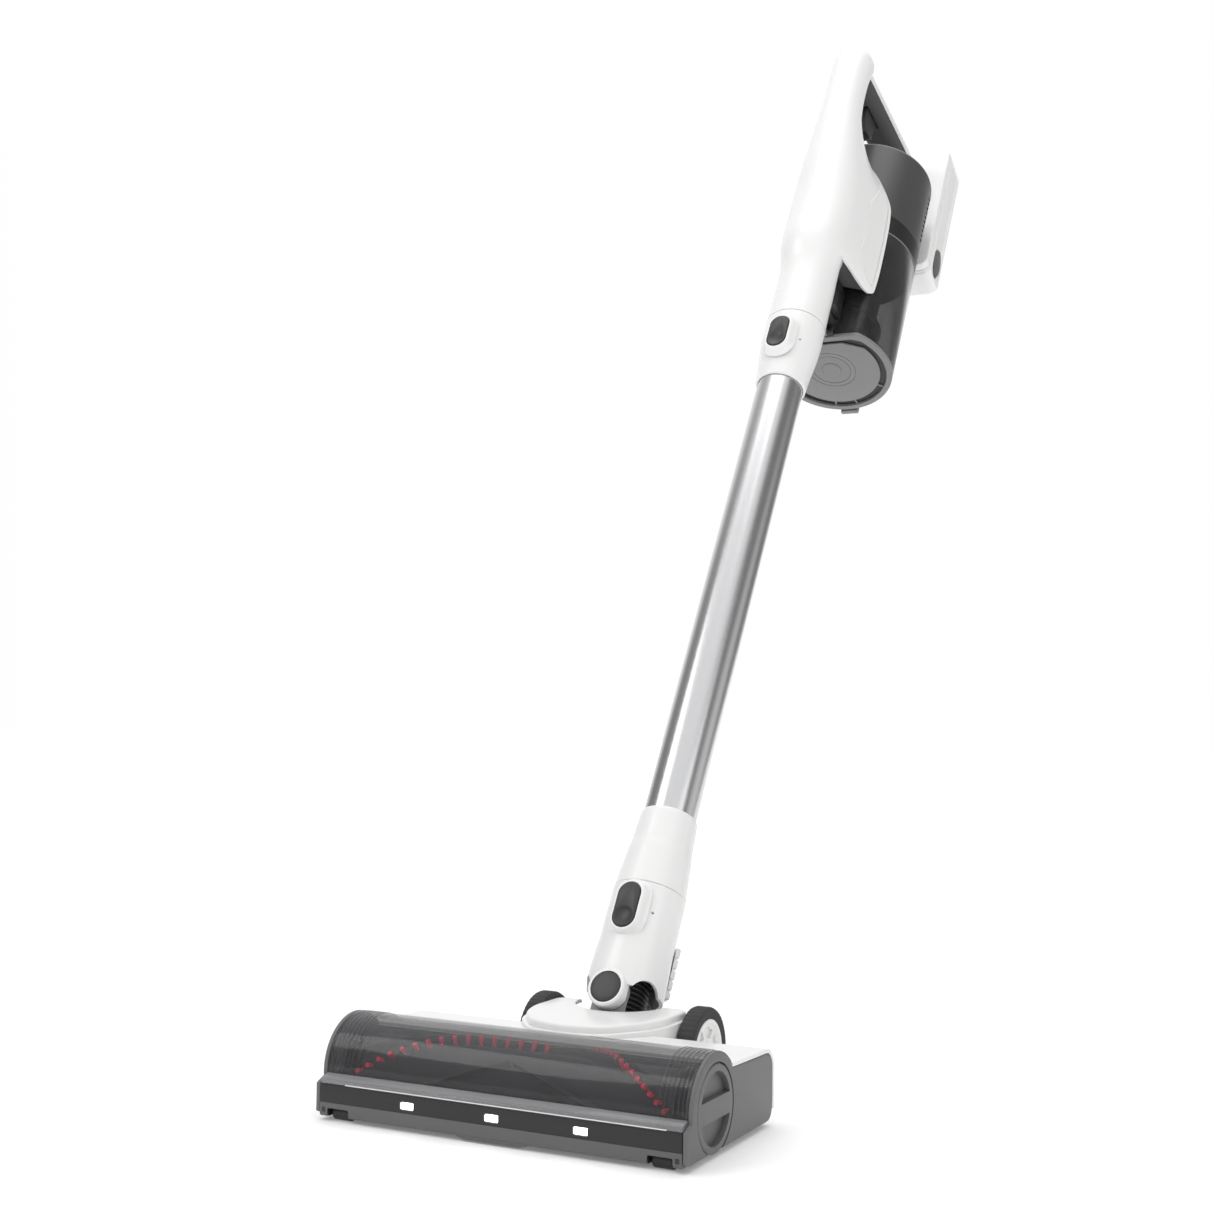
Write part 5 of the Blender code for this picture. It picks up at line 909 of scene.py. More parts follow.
    def _trigger(self) -> None:
        """Curved power trigger under the grip."""
        front, back, low, top = 18, 50, 913, 944
        outline = [(front + 2, top), (front - 0.4, top - 9), (front + 0.4, low + 15), (front + 3, low + 7),
                   (front + 7.5, low + 2),
                   (front + 12.5, low + 0.2), (back - 9, low + 1.2), (back - 7, low + 4),
                   (back - 6.6, low + 11),
                   (back - 5, low + 18), (back - 1.5, low + 24), (back, low + 27), (back, top - 3)]
        blade = Solid(WAND).prism(outline, -6.5, 6.5, "X", 1.8, 4).object("trigger_blade")
        dress(blade, Finish.DARK, "trigger", ("trigger",), 0.0, 50)

    def build(self) -> None:
        """Make every piece of the shell."""
        self._shell()
        self._inner_housing()
        self._inset()
        self._socket()
        self._grip()
        self._trigger()
        self.button.build()


@dataclass
class Cyclone:
    """Motor housing, dust cup, its lid and what shows inside the cup."""

    axis: float = 90.5
    radius: float = 55.9
    flat: float = 47.5
    cup_low: float = 663.5
    cup_high: float = 793.0
    ring_high: float = 815.0
    top: float = 903.0
    vents: int = 10

    def _centre(self) -> Vector:
        """The cylinder's axis."""
        return Vector((0, self.axis, 0))

    def _d(self, radius: float, flat: float, corner: float = 2.0) -> list[Point]:
        """Outline of a round with a flat front, in X and Y about the wand."""
        gap = self.axis - flat
        turn = math.degrees(math.acos(gap / radius))
        small = math.degrees(corner / radius)
        outline = arc((0, self.axis), radius, -90 + turn + small, 270 - turn - small, 90)
        half = gap * math.tan(math.radians(turn))
        left = [(-half + corner * 0.9, flat + 0.05), (-half + corner * 1.5, flat)]
        return outline + left + [(-x, y) for x, y in reversed(left)]

    def _housing(self) -> None:
        """Motor housing with slanted exhaust slots."""
        low, top, radius = self.ring_high + 0.3, self.top, self.radius
        profile = [(radius - 2.6, low), (radius - 0.4, low), (radius, low + 0.4), (radius, top - 3)]
        profile += arc((radius - 3, top - 3), 3, 0, 90, 6) + [(8, top), (8, top - 2.6),
                                                              (radius - 2.6, top - 2.6)]
        housing = Solid(WAND).lathe(profile, self._centre(), Z, 128).object("motor_cover")
        cutter = Solid(WAND)
        for side in (-1, 1):
            for i in range(self.vents):
                height = 832 + i * 6.2
                turn = side * math.radians(103)
                way = Vector((math.sin(turn), -math.cos(turn), 0))
                before = set(cutter.mesh.verts)
                cutter.block((-5.5, -4, -1.25), (5.5, 4, 1.25), 1.0, 2)
                made = [vert for vert in cutter.mesh.verts if vert not in before]
                place = Matrix.Translation(self._centre() + way * radius + Z * height)
                lean = Matrix.Rotation(turn, 4, "Z") @ Matrix.Rotation(side * math.radians(-32), 4, "Y")
                bmesh.ops.transform(cutter.mesh, matrix=place @ lean, verts=made)
        carve(housing, cutter.object("vents"))
        dress(housing, Finish.HOUSING, "main_unit", ("motor_housing",), 0.3)
        rim = arc((radius - 0.9, top - 0.9), 0.6, 0, 330, 11)
        dress(Solid(WAND).lathe(rim, self._centre(), Z, 128).object("motor_cover_ring"), Finish.LIGHT,
              "main_unit")

    def _ring(self) -> None:
        """Dark ring between the cup and the housing, with a fine bright line at its foot."""
        low, high, radius = self.cup_high + 0.3, self.ring_high, self.radius
        profile = [(30.3, low), (radius - 0.4, low), (radius, low + 0.4), (radius, high - 0.6),
                   (radius - 0.6, high),
                   (radius - 5, high), (radius - 5, low + 4), (30.3, low + 4)]
        dress(Solid(WAND).lathe(profile, self._centre(), Z, 128).object("cyclone_ring"), Finish.BLACK,
              "main_unit",
              ("cyclone_collar",))
        line = [(radius - 1.2, low - 0.15), (radius + 0.1, low - 0.15), (radius + 0.1, low + 0.75),
                (radius - 1.2, low + 0.75)]
        dress(Solid(WAND).lathe(line, self._centre(), Z, 128).object("cyclone_ring_line"), Finish.LIGHT,
              "main_unit")

    def _shroud(self) -> None:
        """Finned shroud and skirt round the cone."""
        top, low = self.cup_high + 5, self.cup_high - 78
        profile = [(28, low), (35, low - 6), (36.6, low - 5), (37, low - 3), (30, low + 4)]
        rows = 15
        for i in range(rows):
            height = low + 8 + i * (top - low - 14) / rows
            profile += [(30, height), (29.1, height + 0.5), (29.1, height + 2.6), (30, height + 3.1)]
        profile += [(30, top - 0.6), (32, top - 0.4), (32, top + 1), (28, top + 1)]
        shroud = Solid(WAND).lathe(profile, self._centre()).object("cyclone_mesh")
        dress(shroud, Finish.DARK, "main_unit", ("cyclone_shroud",))
        cone = [(9, low - 22), (22, low + 30), (22, top - 1.4), (27.7, top - 1.4), (27.7, top + 1),
                (20.2, top + 1),
                (20.2, low + 30), (7.2, low - 22)]
        dress(Solid(WAND).lathe(cone, self._centre()).object("cyclone_funnel"), Finish.MID, "main_unit",
              ("cyclone_cone",))

    def _cup(self) -> None:
        """Smoked cup with its inlet and the hinge and latch ears."""
        cup = Solid(WAND).prism(self._d(self.radius, self.flat), self.cup_low, self.cup_high, "Z", 0.5,
                                2).object("dust_bin")
        carve(cup, Solid(WAND).prism(self._d(self.radius - 2, self.flat + 2), self.cup_low - 1,
                                     self.cup_high + 1,
                                     "Z").object("inside"))
        carve(cup, Solid(WAND).rod(12, 45, 52, Vector((0, 0, 683)), Y, FINE).object("inlet"))
        dress(cup, Finish.CUP, "cup", ("dust_cup",))
        low = self.cup_low
        for word, side in (("left", -1), ("right", 1)):
            a, b = sorted((side * 9.5, side * 15))
            ear = Solid(WAND).lathe([(0, a), (2.6, a), (3.0, a + 0.4), (3.0, b - 0.4), (2.6, b), (0, b)],
                                    Vector((0, 44.1, low - 1)), X, FINE)
            ear.block((a, 42.2, low - 1), (b, 47.6, low + 6), 0.8)
            dress(ear.object(f"hinge_ear_{word}"), Finish.BLACK, "cup")
            a, b = sorted((side * 8.5, side * 11))
            catch = Solid(WAND).block((a, 143.5, low + 6), (b, 152.3, low + 12), 0.8)
            dress(catch.object(f"latch_ear_{word}"), Finish.LID, "cup")

    def _lid(self) -> None:
        """Lid with a dark groove, an inner plate with rings, a raised boss and its knuckle."""
        low, high = self.cup_low - 4.5, self.cup_low - 0.3
        rim = Solid(WAND).prism(self._d(self.radius, self.flat), low, high, "Z", 0.9).object("lid_rim")
        carve(rim, Solid(WAND).prism(self._d(self.radius - 5.2, self.flat + 5.2, 5), low - 1, low + 3.0,
                                     "Z").object("well"))
        knuckle = Solid(WAND).lathe([(0, -9), (2.7, -9), (3, -8.7), (3, 8.7), (2.7, 9), (0, 9)],
                                    Vector((0, 44.1, self.cup_low - 1)),
                                    X, FINE).object("knuckle")
        carve(rim, knuckle, "UNION")
        dress(rim, Finish.LID, "lid", ("cup_lid",), 0.3)
        well = Solid(WAND).prism(self._d(self.radius - 5.6, self.flat + 5.6, 5), low + 2.4, low + 3.1,
                                 "Z").object("lid_gap")
        dress(well, Finish.BLACK, "lid")
        plate = Solid(WAND).prism(self._d(self.radius - 11.0, self.flat + 9.5, 12), low + 0.5, low + 2.6, "Z",
                                  0.7).object("lid_plate")
        for radius in (17.5, 22.0):
            ring = [(radius, low - 1), (radius + 0.55, low - 1), (radius + 0.55, low + 1.0),
                    (radius, low + 1.0)]
            carve(plate, Solid(WAND).lathe(ring, self._centre(), Z, FAIR).object("ring"))
        dress(plate, Finish.LID, "lid")
        boss = [(0, low - 0.5), (8.2, low - 0.5), (9.0, low + 0.1), (9.4, low + 2), (0, low + 2)]
        dress(Solid(WAND).lathe(boss, self._centre(), Z, FAIR).object("lid_boss"), Finish.LID, "lid")
        for i, turn in enumerate((35, 78, 102, 145)):
            way = Vector((math.cos(math.radians(turn)), math.sin(math.radians(turn)), 0))
            spoke = Solid(WAND).block((42.5, -0.8, low + 1.2), (50.8, 0.8, low + 2.6), 0.3)
            turned = Matrix.Translation(self._centre()) @ X.rotation_difference(way).to_matrix().to_4x4()
            bmesh.ops.transform(spoke.mesh, matrix=turned, verts=spoke.mesh.verts)
            dress(spoke.object(f"lid_spoke_{i}"), Finish.LID, "lid")
        latch = Solid(WAND).prism([(147.6, 675.4), (151.9, 675.4), (152.9, 668.5), (152.9, low + 0.6),
                                   (151, low - 0.5), (147.6, low - 0.5)],
                                  -8, 8, "X", 0.6).object("lid_catch")
        dress(latch, Finish.LID, "lid_latch", ("lid_latch",), 0.3)

    def _duct(self) -> None:
        """Dark duct and its saddle between the spine and the cup."""
        duct = Solid(WAND).lathe([(12, 18), (15, 18), (15, 40), (16.5, 44), (16.5, 47.2), (12, 47.2)],
                                 Vector((0, 0, 683)), Y)
        dress(duct.object("inlet_pipe"), Finish.BLACK, "main_unit", ("inlet_duct",))
        saddle = soft_box((-19, 20), (19, 46.6), 7)
        dress(Solid(WAND).prism(saddle, 676, 708, "Z", 3, 4).object("inlet_saddle"), Finish.BLACK,
              "main_unit")

    def build(self) -> None:
        """Make every piece of the cyclone."""
        self._housing()
        self._ring()
        self._shroud()
        self._cup()
        self._lid()
        self._duct()


@dataclass
class Battery:
    """Dock behind the cylinder and the slide-off pack with its two buttons."""

    half: float = 47.0
    low: float = 846.0
    high: float = 1014.0
    corner: float = 9.0
    face: float = 147.0
    back: float = 191.0

    def _outline(self, shrink: float = 0.0) -> list[Point]:
        """The pack's outline seen from behind."""
        return soft_box((-self.half + shrink, self.low + shrink), (self.half - shrink, self.high - shrink),
                        self.corner - shrink * 0.7)

    def build(self) -> None:
        """Make the dock, the front plate, the case with recessed sides and holes, and the buttons."""
        dock = Solid(WAND).prism(self._outline(), self.face, self.face + 9, "Y", 1.2).object("dock_plate")
        dress(dock, Finish.WHITE, "main_unit", ("battery_dock",))
        front = Solid(WAND).prism(self._outline(), self.face + 9.3, self.face + 11.7, "Y",
                                  0.6).object("pack_front")
        dress(front, Finish.TRIM, "battery", ("battery_plate",))
        case = Solid(WAND).prism(self._outline(), self.face + 12, self.back, "Y", 3.2, 5).object("pack_case")
        middle = (self.face + 12 + self.back) / 2
        for side in (-1, 1):
            recess = soft_box((self.face + 16.5, self.low + 6), (self.back - 5.5, self.high - 7), 6)
            a, b = sorted((side * (self.half - 1.1), side * (self.half + 2)))
            carve(case, Solid(WAND).prism(recess, a, b, "X").object("recess"))
            hole = [(middle + 9.6 * math.cos(math.tau * i / 48),
                     self.low + 27 + 18 * math.sin(math.tau * i / 48)) for i in range(48)]
            a, b = sorted((side * (self.half - 6.6), side * (self.half + 2)))
            carve(case, Solid(WAND).prism(hole, a, b, "X").object("hole"))
        dress(case, Finish.WHITE, "battery", ("battery_case",), 0.35)
        for word, side in (("left", -1), ("right", 1)):
            shape = [(middle + 8.5 * math.cos(math.tau * i / 48),
                      self.low + 27 + 16.5 * math.sin(math.tau * i / 48)) for i in range(48)]
            a, b = sorted((side * (self.half - 4.2), side * (self.half + 0.6)))
            name = f"battery_button_{word}"
            dress(Solid(WAND).prism(shape, a, b, "X", 1.0).object(f"pack_button_{word}"), Finish.MID, name,
                  (name,))


# ---------------------------------------------------------------- floor head

@dataclass
class FloorHead:
    """Motorised floor head: cover, side panels, window, light bar, lip, wheels, rollers and brush roll."""

    half: float = 128.0
    body: float = 125.0
    front: float = -173.0
    rear: float = -41.0
    height: float = 49.0
    corner: float = 13.0
    roll: Point = (-133.0, 28.7)
    window: float = 32.9
    window_end: float = 42.0
    cap: float = 26.0
    bar: float = 23.2
    lip: float = 11.6
    cowl_top: float = 57.5
    cowl_plan: tuple = ((-50, 2), (-50, -36), (-44, -56), (-26, -81), (-8, -86), (8, -86), (26, -81),
                        (44, -56), (50, -36),
                        (50, 2))
    neck_room: float = 32.0
    hinge: float = 30.3
    lamps: tuple = (-60.0, 0.0, 60.0)
    roller: tuple = (111.0, -165.0, 5.2)
    rows: tuple = (((-107, 88), (-70, 40), (-33, 0), (20, -38)),
                   ((34, -38), (52, -10), (72, 24), (90, 56), (109, 92)),
                   ((-22, 114), (40, 118), (96, 122)), ((-107, 268), (-33, 180), (20, 142)),
                   ((50, 144), (70, 180), (109, 272)))
    pitch: float = 8.6
    close_pitch: float = 6.6
    join: float = 30.0

    def _axis(self) -> Vector:
        """The brush roll's axis."""
        return Vector((0, *self.roll))

    def _junction(self) -> Point:
        """Where the window meets the cover."""
        turn = math.radians(self.window_end)
        return self.roll[0] + self.window * math.cos(turn), self.roll[1] + self.window * math.sin(turn)

    def _plan(self, grow: float) -> list[Point]:
        """The cowl's plan with rounded corners, grown outwards."""
        points = [Vector(point) for point in self.cowl_plan]
        centre = Vector((0, -36))
        grown = [point + (point - centre).normalized() * grow for point in points]
        outline = []
        for i, point in enumerate(grown):
            before, after = grown[i - 1], grown[(i + 1) % len(grown)]
            first = point + (before - point).normalized() * min(8, (before - point).length * 0.4)
            last = point + (after - point).normalized() * min(8, (after - point).length * 0.4)
            outline += [tuple(first * (1 - t) ** 2 + point * 2 * t * (1 - t)
                              + last * t * t) for t in (i / 5 for i in range(6))]
        return outline

    def _cover(self) -> None:
        """White cover with a stepped cowl round the neck."""
        wall = 2.4
        start, level = self._junction()
        start += 0.3
        corner = (self.rear - self.corner, self.height - self.corner)
        outer = [(start, level)] + arc(corner, self.corner, 90, 0, 12) + [(self.rear, 10.5)]
        inner = [(self.rear - wall, 10.5)] + arc(corner, self.corner - wall, 0, 90,
                                                 12) + [(start, level - wall)]
        cover = Solid(HEAD).prism(outer + inner, -self.half, self.half, "X").object("head_top")
        for grow, top, edge in ((3.0, 52.6, 0.9), (0.0, self.cowl_top, 2.2)):
            step = Solid(HEAD).prism(self._plan(grow), 40, top, "Z", edge, 4).object("step")
            carve(cover, step, "UNION")
        hollow = [(x * 0.95, y * 0.95 if y < 0 else 12) for x, y in self.cowl_plan]
        carve(cover, Solid(HEAD).prism(hollow, 30, self.cowl_top - 2.5, "Z").object("hollow"))
        carve(cover, Solid(HEAD).rod(self.neck_room, 0, 90).object("neck_room"))
        carve(cover, Solid(HEAD).block((-self.neck_room, 0, 0), (self.neck_room, 30, 90)).object("neck_exit"))
        carve(cover, Solid(HEAD).block((-42, -53, 17), (42, -30, 55)).object("barrel_room"))
        for side in (-1, 1):
            a, b = sorted((side * 42.4, side * 54.5))
            carve(cover, Solid(HEAD).block((a, self.rear - 4, self.hinge - 10),
                                           (b, 30, self.hinge + 10)).object("arm_room"))
            carve(cover, Solid(HEAD).rod(12.4, a, b, Vector((0, 0, self.hinge)), X,
                                           FINE).object("arm_end"))
        dress(cover, Finish.WHITE, "head", ("head_cover",), 0.7, 34)

    def _panels(self) -> None:
        """Grey panels at both ends."""
        start, level = self._junction()
        corner = (self.rear - self.corner, self.height - self.corner)
        rear = arc(corner, self.corner - 2.7, 90, 0, 10)
        outline = [(self.front, 5.5), (self.front, self.bar)] + arc(self.roll, self.window, 184,
                                                                    self.window_end, 40)[:-1]
        outline += [(start, level - 2.7)] + rear
        outline += arc((rear[-1][0] - 8, 12), 8, 0, -90, 8) + [(self.front + 4, 4.0)]
        for word, side in (("left", -1), ("right", 1)):
            a, b = sorted((side * self.body, side * self.half))
            panel = Solid(HEAD).prism(outline, a, b, "X", 0.8, 3).object(f"end_panel_{word}")
            if side > 0:
                radius = self.cap + 0.8
                hole = [(0, a - 1), (radius, a - 1), (radius, b + 1), (0, b + 1)]
                carve(panel, Solid(HEAD).lathe(hole, self._axis(), X, 128).object("hole"))
            dress(panel, Finish.PANEL, "head", (f"side_panel_{word}",), 0.35)

    def _cap(self) -> None:
        """Turning cap with two finger recesses and a bar across."""
        out = self.half
        profile = [(0, out - 7.8), (self.cap, out - 7.8),
                   (self.cap, out - 1.2)] + arc((self.cap - 1.2, out - 1.2), 1.2, 0, 90, 6)
        profile += [(0, out)]
        cap = Solid(HEAD).lathe(profile, self._axis(), X, 128).object("turn_cap")
        for tilt in (0, 180):
            half = arc((0, 0), self.cap - 4.5, 17, 163, 30)
            turn = math.radians(tilt)
            points = [(self.roll[0] + y * math.cos(turn) - z * math.sin(turn),
                       self.roll[1] + y * math.sin(turn) + z * math.cos(turn))
                      for y, z in half]
            carve(cap, Solid(HEAD).prism(points, out - 4, out + 1, "X").object("recess"))
        dress(cap, Finish.PANEL, "end_cap", ("roll_end_cap",), 0.7)

    def _window(self) -> None:
        """Clear arched window with a pale foot and fine ribs near its ends."""
        span = self.body - 0.4
        outline = arc(self.roll, self.window, 180, self.window_end, 48) + arc(self.roll, self.window - 2,
                                                                              self.window_end, 180, 48)
        dress(Solid(HEAD).prism(outline, -span, span, "X").object("arch_window"), Finish.WINDOW, "head",
              ("clear_window",))
        front = self.front
        foot = [(front + 0.4, self.bar + 0.1), (front + 0.2, self.bar + 2.3), (front + 1.2, self.bar + 3.4),
                (self.roll[0] - self.window + 0.4, self.bar + 5.2), (front + 9, self.bar + 4.6),
                (front + 9, self.bar + 0.1)]
        dress(Solid(HEAD).prism(foot, -span, span, "X", 0.3).object("window_foot"), Finish.FOOT, "head")
        line = [(front - 0.1, self.bar), (front - 0.1, self.bar + 0.55), (front + 1, self.bar + 0.55),
                (front + 1, self.bar)]
        dress(Solid(HEAD).prism(line, -106, 115, "X", 0.2).object("window_line"), Finish.WHITE, "head")
        ribs = Solid(HEAD)
        for side in (-1, 1):
            for i in range(6):
                at = side * (106.5 + i * 3.0)
                ring = arc(self.roll, self.window + 0.35, 176, self.window_end + 6, 32)
                ring += arc(self.roll, self.window - 0.5, self.window_end + 6, 176, 32)
                ribs.prism(ring, at - 0.5, at + 0.5, "X")
        dress(ribs.object("window_ribs"), Finish.WINDOW, "head")

    def _bar(self) -> None:
        """Dark front bar with three lamps, and the pale lip under it."""
        front, span = self.front - 0.2, self.body - 0.2
        outline = [(front, self.lip + 0.3), (front, self.bar - 1.2)] + arc((front + 1.2, self.bar - 1.2), 1.2,
                                                                           180, 90, 6)
        outline += [(front + 9.4, self.bar), (front + 9.4, self.lip + 0.3)]
        bar = Solid(HEAD).prism(outline, -span, span, "X").object("light_bar")
        for at in self.lamps:
            carve(bar, Solid(HEAD).block((at - 4.9, front - 1, 13.6), (at + 4.9, front + 1.6, 18.4),
                                         0.9).object("seat"))
        dress(bar, Finish.BLACK, "head", (), 0.4)
        for i, at in enumerate(self.lamps):
            lens = Solid(HEAD).block((at - 4.5, front + 0.1, 14.0), (at + 4.5, front + 4, 18.0), 0.8, 3)
            dress(lens.object(f"lamp_{i}"), Finish.LENS, "head", ("headlight_bar",) if i == 1 else ())
        lip = Solid(HEAD).prism([(front + 1, 3.0), (front, 4.6), (front, self.lip), (front + 9, self.lip),
                                 (front + 9, 3.0)],
                                -span, span, "X").object("front_lip")
        carve(lip, Solid(HEAD).prism([(-24, 2.6), (-19, 1.2), (19, 1.2), (24, 2.6), (24, 6), (-24, 6)],
                                     front + 0.6, front + 6,
                                     "Y").object("drop"), "UNION")
        x, _, _ = self.roller
        for side in (-1, 1):
            a, b = sorted((side * (x - 8), side * (x + 8)))
            carve(lip, Solid(HEAD).block((a, front - 2, 0), (b, front + 12, 8.2), 1.0).object("notch"))
            a, b = sorted((side * 120.5, side * 123.2))
            carve(lip, Solid(HEAD).block((a, front - 2, 5.6), (b, front + 1.6, 8.6), 0.4).object("slot"))
        dress(lip, Finish.MID, "head", (), 0.4)

    def _rollers(self) -> None:
        """Small front rollers."""
        x, y, radius = self.roller
        for word, side in (("left", -1), ("right", 1)):
            a, b = sorted((side * (x - 7), side * (x + 7)))
            profile = [(0, a), (radius - 1, a), (radius, a + 1), (radius, b - 1), (radius - 1, b), (0, b)]
            roller = Solid(HEAD).lathe(profile, Vector((0, y, radius)), X, FINE).object(f"glide_{word}")
            nodes = [name for name in frame["nodes"] if "roller" in name and word in name]
            dress(roller, Finish.RUBBER, f"roller_{word}", tuple(nodes), 0.3)

    def _wheels(self) -> None:
        """Rear wheels: treaded tyre and dished hub with pockets."""
        near, far, radius = 53.0, 65.7, 30.3
        place = Vector((0, 0, self.hinge))
        for word, side in (("left", -1), ("right", 1)):
            way = X * side
            tyre = [(22.6, near + 0.8), (radius - 2.4, near), (radius - 0.7, near + 0.8),
                    (radius, near + 2.4), (radius, far - 2.4),
                    (radius - 0.7, far - 0.8), (radius - 2.4, far), (22.6, far - 0.8)]
            shape = Solid(HEAD).lathe(tyre, place, way, 180)
            for vert in shape.mesh.verts:
                gap = Vector((vert.co.y, vert.co.z - self.hinge))
                step = round(math.degrees(math.atan2(gap.y, gap.x)) / 2)
                if gap.length > radius - 1 and step % 4 == 0:
                    vert.co.y *= (radius - 0.35) / radius
                    vert.co.z = self.hinge + gap.y * (radius - 0.35) / radius
            dress(shape.object(f"tyre_{word}"), Finish.TYRE, f"wheel_{word}", (f"wheel_tyre_{word}",))
            hub = [(0, near - 2), (6, near - 2), (6, near + 1.5), (22.4, near + 1.5), (22.4, far - 0.6),
                   (21.6, far - 0.2), (20, far - 0.4),
                   (18.4, far - 2.6), (8.5, far - 2.0), (7.8, far - 0.9), (0, far - 0.6)]
            wheel = Solid(HEAD).lathe(hub, place, way, FAIR).object(f"hub_{word}")
            for i in range(6):
                turn = math.radians(60 * i + 15)
                points = []
                for dist, spread in ((10.5, -22), (17, -24), (17.6, 0), (17, 24), (10.5, 22)):
                    angle = turn + math.radians(spread)
                    points.append((dist * math.cos(angle), self.hinge + dist * math.sin(angle)))
                a, b = sorted((side * (far - 4.2), side * (far + 1)))
                carve(wheel, Solid(HEAD).prism(points, a, b, "X").object("pocket"))
            dress(wheel, Finish.WHITE, f"wheel_{word}", (f"wheel_hub_{word}",), 0.4)

    def _brush(self) -> None:
        """Brush roll with tufts in rows that meet in the middle."""
        half, core, tip = 111.0, 20.0, 26.3
        profile = [(0, -half - 8), (3, -half - 8), (3, -half), (core + 1.5, -half), (core + 1.5, -half + 2.4),
                   (core, -half + 3),
                   (core, half - 3), (core + 1.5, half - 2.4), (core + 1.5, half), (3, half), (3, half + 5),
                   (0, half + 5)]
        dress(Solid(HEAD).lathe(profile, self._axis(), X).object("roll_core"), Finish.FELT, "brush",
              ("brush_roll",))
        tufts = Solid(HEAD)
        for row in self.rows:
            at, pitch = row[0][0], self.pitch if row[0][0] < self.join else self.close_pitch
            while at <= row[-1][0]:
                turn = math.radians(follow(row, at)[0])
                way = Vector((0, -math.sin(turn), math.cos(turn)))
                tufts.lathe([(0, core - 1), (1.1, core - 1), (1.2, core + 2), (1.7, tip - 0.5), (1.3, tip),
                             (0, tip - 0.2)],
                            self._axis() + X * at, way, 10)
                slope = math.radians(abs(follow(row, at + 1)[0] - follow(row, at)[0])) * tip
                at += pitch / math.sqrt(1 + slope * slope)
        dress(tufts.object("roll_tufts"), Finish.TUFT, "brush", (), 0.0, 60)
        strips = Solid(HEAD)
        for row in range(4):
            for side in (-1, 1):
                loops = []
                for i in range(33):
                    at = 1.0 + i * (half - 6) / 32
                    turn = math.radians(90 * row + 45 + 100 * at / half)
                    way, across = Vector((0, math.cos(turn), math.sin(turn))), Vector((0, -math.sin(turn),
                                                                                       math.cos(turn)))
                    base = self._axis() + X * side * at
                    corners = ((core - 1, -1.3), (core + 4.6, -0.9), (core + 5.2, 0), (core + 4.6, 0.9),
                               (core - 1, 1.3))
                    loops.append([base + way * dist + across * gap for dist, gap in corners])
                strips.rings(loops)
        dress(strips.object("roll_strips"), Finish.FELT, "brush")

    def build(self) -> None:
        """Make every piece of the floor head."""
        self._cover()
        self._panels()
        self._cap()
        self._window()
        self._bar()
        self._rollers()
        self._wheels()
        self._brush()


@dataclass
class Barrel:
    """Tilting barrel with its pale dome and the ears of the swivel."""

    radius: float = 13.0
    half: float = 43.0
    dome: float = 29.5
    ear: float = 12.6

    def build(self) -> None:
        """Make the barrel."""
        centre = WAND.inverted() @ (HEAD @ Vector((0, 0, 30.3)))
        profile = [(0, -self.half), (self.radius - 1, -self.half), (self.radius, 1 - self.half),
                   (self.radius, self.half - 1),
                   (self.radius - 1, self.half), (0, self.half)]
        barrel = Solid(WAND).lathe(profile, centre, X).object("tilt_body")
        dome = [(self.dome * math.cos(math.radians(a)), self.dome * math.sin(math.radians(a))) for a in range
                (-90, 91, 6)]
        ball = Solid(WAND).lathe(dome, centre, X, FAIR).object("dome")
        carve(ball, Solid(WAND).block((-40, -60, -12.4), (40, 60, 60)).object("above"))
        carve(ball, Solid(HEAD).block((-40, -60, -20), (40, 60, 20)).object("below"))
        ears = Solid(WAND).rod(self.ear, -20.2, 20.2, Vector(), Y).object("ears")
        web = Solid(WAND).block((-12.1, -19.8, centre.z), (12.1, 19.8, 0)).object("web")
        for part in (ears, web):
            carve(ball, part, "UNION")
        carve(barrel, ball, "UNION")
        for low, high in ((-32, -20.3), (20.3, 32)):
            carve(barrel, Solid(WAND).rod(14.3, low, high, Vector(), Y).object("boss_room"))
        carve(barrel, Solid(WAND).rod(18.4, -16.1, 16.1, Vector(), Y).object("hose_seat"))
        carve(barrel, Solid(WAND).block((-18, -16.0, -1), (18, 16.0, 30)).object("hose_way"))
        dress(barrel, Finish.LIGHT, "barrel", ("tilt_barrel",), 0.4)


# ---------------------------------------------------------------- stage

